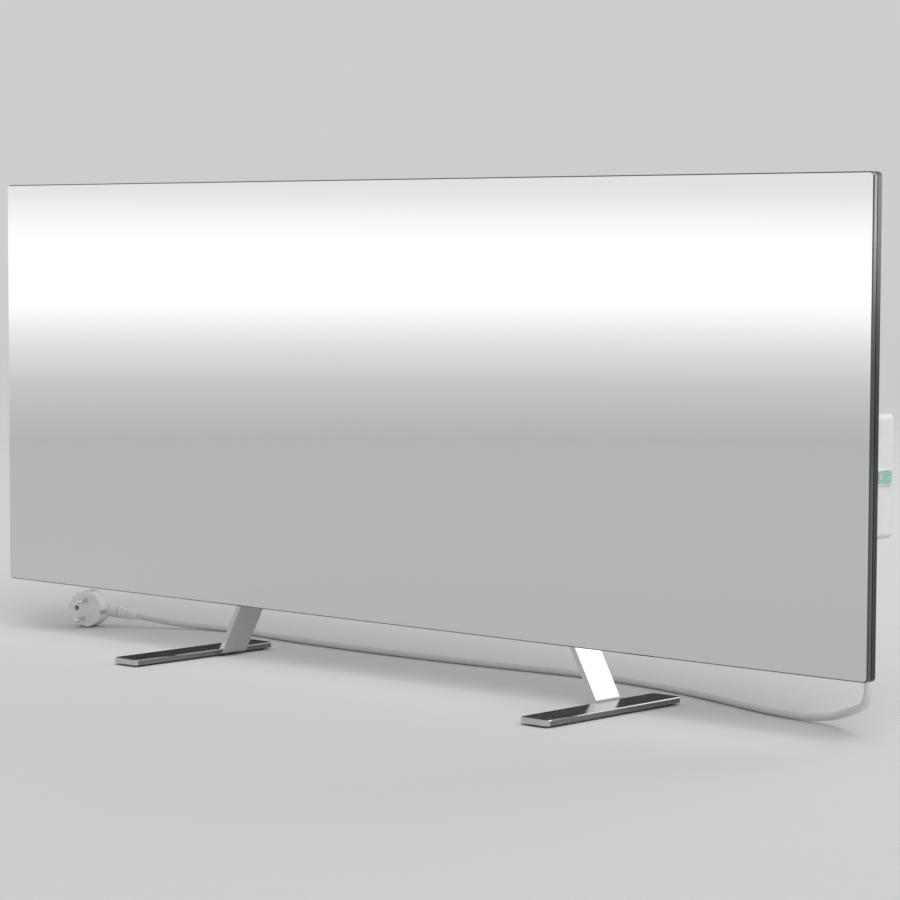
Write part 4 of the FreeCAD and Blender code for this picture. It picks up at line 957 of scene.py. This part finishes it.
def hexagon_outline(radius):
    """Points of a hexagon, four to a side."""
    half_side = math.pi / HEXAGON_SIDES
    points = []
    for x, z in circle_outline(1.0):
        turn = math.atan2(z, x) % (2 * half_side) - half_side
        reach = radius * math.cos(half_side) / math.cos(turn)
        points.append((x * reach, z * reach))
    return points


def cross_outline(radius):
    """Points of a plus sign, six to each of its four arms."""
    half = CROSS_HALF_WIDTH * radius
    along = CROSS_MID_ARM * radius
    arm = [(half, -half), (along, -half), (radius, -half), (radius, half), (along, half), (half, half)]
    points = []
    for quarter in range(4):
        turn = Matrix.Rotation(quarter * math.pi / 2, 2)
        points += [tuple(turn @ Vector(point)) for point in arm]
    return points


outlines_of_one = [outline(1.0) for outline in (circle_outline, hexagon_outline, cross_outline)]
print("points in each outline", [len(points) for points in outlines_of_one])

# %% Loops of a screw
SMALL_SCREW = {
    "shank_radius": 1.5 * MM,
    "head_height": 1.8 * MM,
    "recess": cross_outline,
    "recess_radius": 1.5 * MM,
    "recess_depth": 0.9 * MM,
}
FOOT_SCREW = {
    "shank_radius": 2.45 * MM,
    "head_height": 2.75 * MM,
    "recess": hexagon_outline,
    "recess_radius": 1.73 * MM,
    "recess_depth": 1.6 * MM,
}
RECESS_TAPER = 0.85
# Loops of the domed head, as shares of its radius and its height.
DOME = [(1.0, 0.0), (1.0, 0.25), (0.95, 0.55), (0.84, 0.82), (0.70, 0.97), (0.62, 1.0)]


def screw_outlines(low, high, kind):
    """The outlines of a screw between two corners, each with its place along Y, from the tip on."""
    head_radius = (high.x - low.x) / 2
    seat = high.y - kind["head_height"]
    shank = circle_outline(kind["shank_radius"])
    outlines = [(shank, low.y), (shank, seat)]
    for radius_share, height_share in DOME:
        height = seat + kind["head_height"] * height_share
        outlines.append((circle_outline(head_radius * radius_share), height))
    outlines.append((kind["recess"](kind["recess_radius"]), high.y))
    recess_floor = kind["recess"](kind["recess_radius"] * RECESS_TAPER)
    outlines.append((recess_floor, high.y - kind["recess_depth"]))
    return outlines


first_screw = screw_outlines(*screw_boxes["foot_screws"][0], FOOT_SCREW)
print("a screw has", len(first_screw), "loops")

# %% Replace the screws
SHARP = math.radians(32)
TURN_STEP = 0.7


def loop(builder, outline, turn, place):
    """A closed loop of edges around the screw's axis, which runs along Y."""
    spin = Matrix.Rotation(turn, 2)
    verts = []
    for point in outline:
        x, z = spin @ Vector(point)
        verts.append(builder.verts.new(place + Vector((x, 0, z))))
    return [builder.edges.new(pair) for pair in zip(verts, verts[1:] + verts[:1])]


def finer_screw(builder, box, kind, turn):
    """One screw with a domed head and a recess, in the place of a plain one."""
    low, high = box
    middle = (low + high) / 2
    loops = []
    for outline, along in screw_outlines(low, high, kind):
        loops.append(loop(builder, outline, turn, Vector((middle.x, along, middle.z))))
    for lower, upper in zip(loops, loops[1:]):
        bmesh.ops.bridge_loops(builder, edges=lower + upper)
    for end in (loops[0], loops[-1]):
        bmesh.ops.contextual_create(builder, geom=end)


def soften(builder):
    """Smooth shading, with the sharp edges kept sharp."""
    bmesh.ops.recalc_face_normals(builder, faces=builder.faces)
    for face in builder.faces:
        face.smooth = True
    for edge in builder.edges:
        edge.smooth = edge.calc_face_angle(0) < SHARP


def replace_screws(name, node_name, kind):
    """Replaces all the screws of a CAD node by finer ones, each turned a little further."""
    builder = bmesh.new()
    boxes = screw_boxes[node_name]
    for index, box in enumerate(boxes):
        finer_screw(builder, box, kind, turn=TURN_STEP * index)
    soften(builder)
    piece = link_piece(builder, name, screw_finish)
    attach(piece, "heater")
    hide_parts(node_name)
    print(name, "has", len(boxes), "screws")


replace_screws("rim_screws", "back_cover_screws", SMALL_SCREW)
replace_screws("box_screws", "control_box_screws", SMALL_SCREW)
replace_screws("foot_bolts", "foot_screws", FOOT_SCREW)

# %% [markdown]
# The rocker carries the usual pair of switch marks, a bar for on and a ring for off. They are thin
# raised pieces, as a two-colour moulding has them. Paint on a texture would do from far away, but
# raised marks also catch the light. Each is drawn flat at the origin, and one matrix puts it on the
# dished face of the tilted rocker, so they ride with it when it tips.

# %% Place on the rocker
PIVOT = Vector((516.5, 22.5, 215.5)) * MM
REST_TILT = math.radians(9)
FACE_MIDDLE = 3.6 * MM
FACE_RADIUS = 28.6 * MM
MARK_OFFSET = 4.3 * MM
MARK_SUNK = 0.12 * MM
# A flat mark's length goes along Y, its width along Z and its height along X.
MARK_AXES = Matrix(((0, 0, 1, 0), (1, 0, 0, 0), (0, 1, 0, 0), (0, 0, 0, 1)))


def on_rocker(along):
    """The matrix that lays a flat mark on the rocker's face, at a distance from the face's middle."""
    rise = FACE_MIDDLE + FACE_RADIUS - math.sqrt(FACE_RADIUS ** 2 - along ** 2) - MARK_SUNK
    lean = math.asin(along / FACE_RADIUS)
    to_rest = Matrix.Translation(PIVOT) @ Matrix.Rotation(-REST_TILT, 4, "Z")
    to_face = Matrix.Translation((rise, along, 0)) @ Matrix.Rotation(-lean, 4, "Z")
    return to_rest @ to_face @ MARK_AXES


print("marks at", [tuple(on_rocker(along).translation) for along in (MARK_OFFSET, -MARK_OFFSET)])

# %% Marks on the rocker
MARK_HEIGHT = 0.3 * MM
BAR_LENGTH = 3.0 * MM
BAR_WIDTH = 0.6 * MM
RING_RADIUS = 1.25 * MM
RING_WIDTH = 0.55 * MM
RING_STEPS = 40
MARK_MERGE = 0.001 * MM


def bar_mark(builder):
    """A straight bar, lengthwise on the rocker."""
    size = Matrix.Diagonal((BAR_LENGTH, BAR_WIDTH, MARK_HEIGHT, 1))
    lift = Matrix.Translation((0, 0, MARK_HEIGHT / 2))
    return bmesh.ops.create_cube(builder, size=1.0, matrix=lift @ size)["verts"]


def ring_mark(builder):
    """A ring, spun from a small upright rectangle."""
    half = Matrix.Diagonal((RING_WIDTH / 2, MARK_HEIGHT / 2, 1, 1))
    stand = Matrix.Rotation(math.pi / 2, 4, "X")
    place = Matrix.Translation((RING_RADIUS, 0, MARK_HEIGHT / 2))
    bmesh.ops.create_grid(builder, x_segments=1, y_segments=1, size=1.0, matrix=place @ stand @ half)
    bmesh.ops.delete(builder, geom=builder.faces[:], context="FACES_ONLY")
    bmesh.ops.spin(
        builder,
        geom=builder.verts[:] + builder.edges[:],
        cent=(0, 0, 0),
        axis=(0, 0, 1),
        angle=2 * math.pi,
        steps=RING_STEPS,
        use_merge=True,
    )
    return builder.verts[:]


def mark_piece(name, draw, along):
    """Draws one mark, puts it on the rocker and sets its shading."""
    builder = bmesh.new()
    bmesh.ops.transform(builder, matrix=on_rocker(along), verts=draw(builder))
    bmesh.ops.remove_doubles(builder, verts=builder.verts, dist=MARK_MERGE)
    soften(builder)
    piece = link_piece(builder, name, switch_finish)
    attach(piece, "rocker")
    print(name, "with", len(piece.data.polygons), "faces")


mark_piece("on_mark", bar_mark, MARK_OFFSET)
mark_piece("off_mark", ring_mark, -MARK_OFFSET)
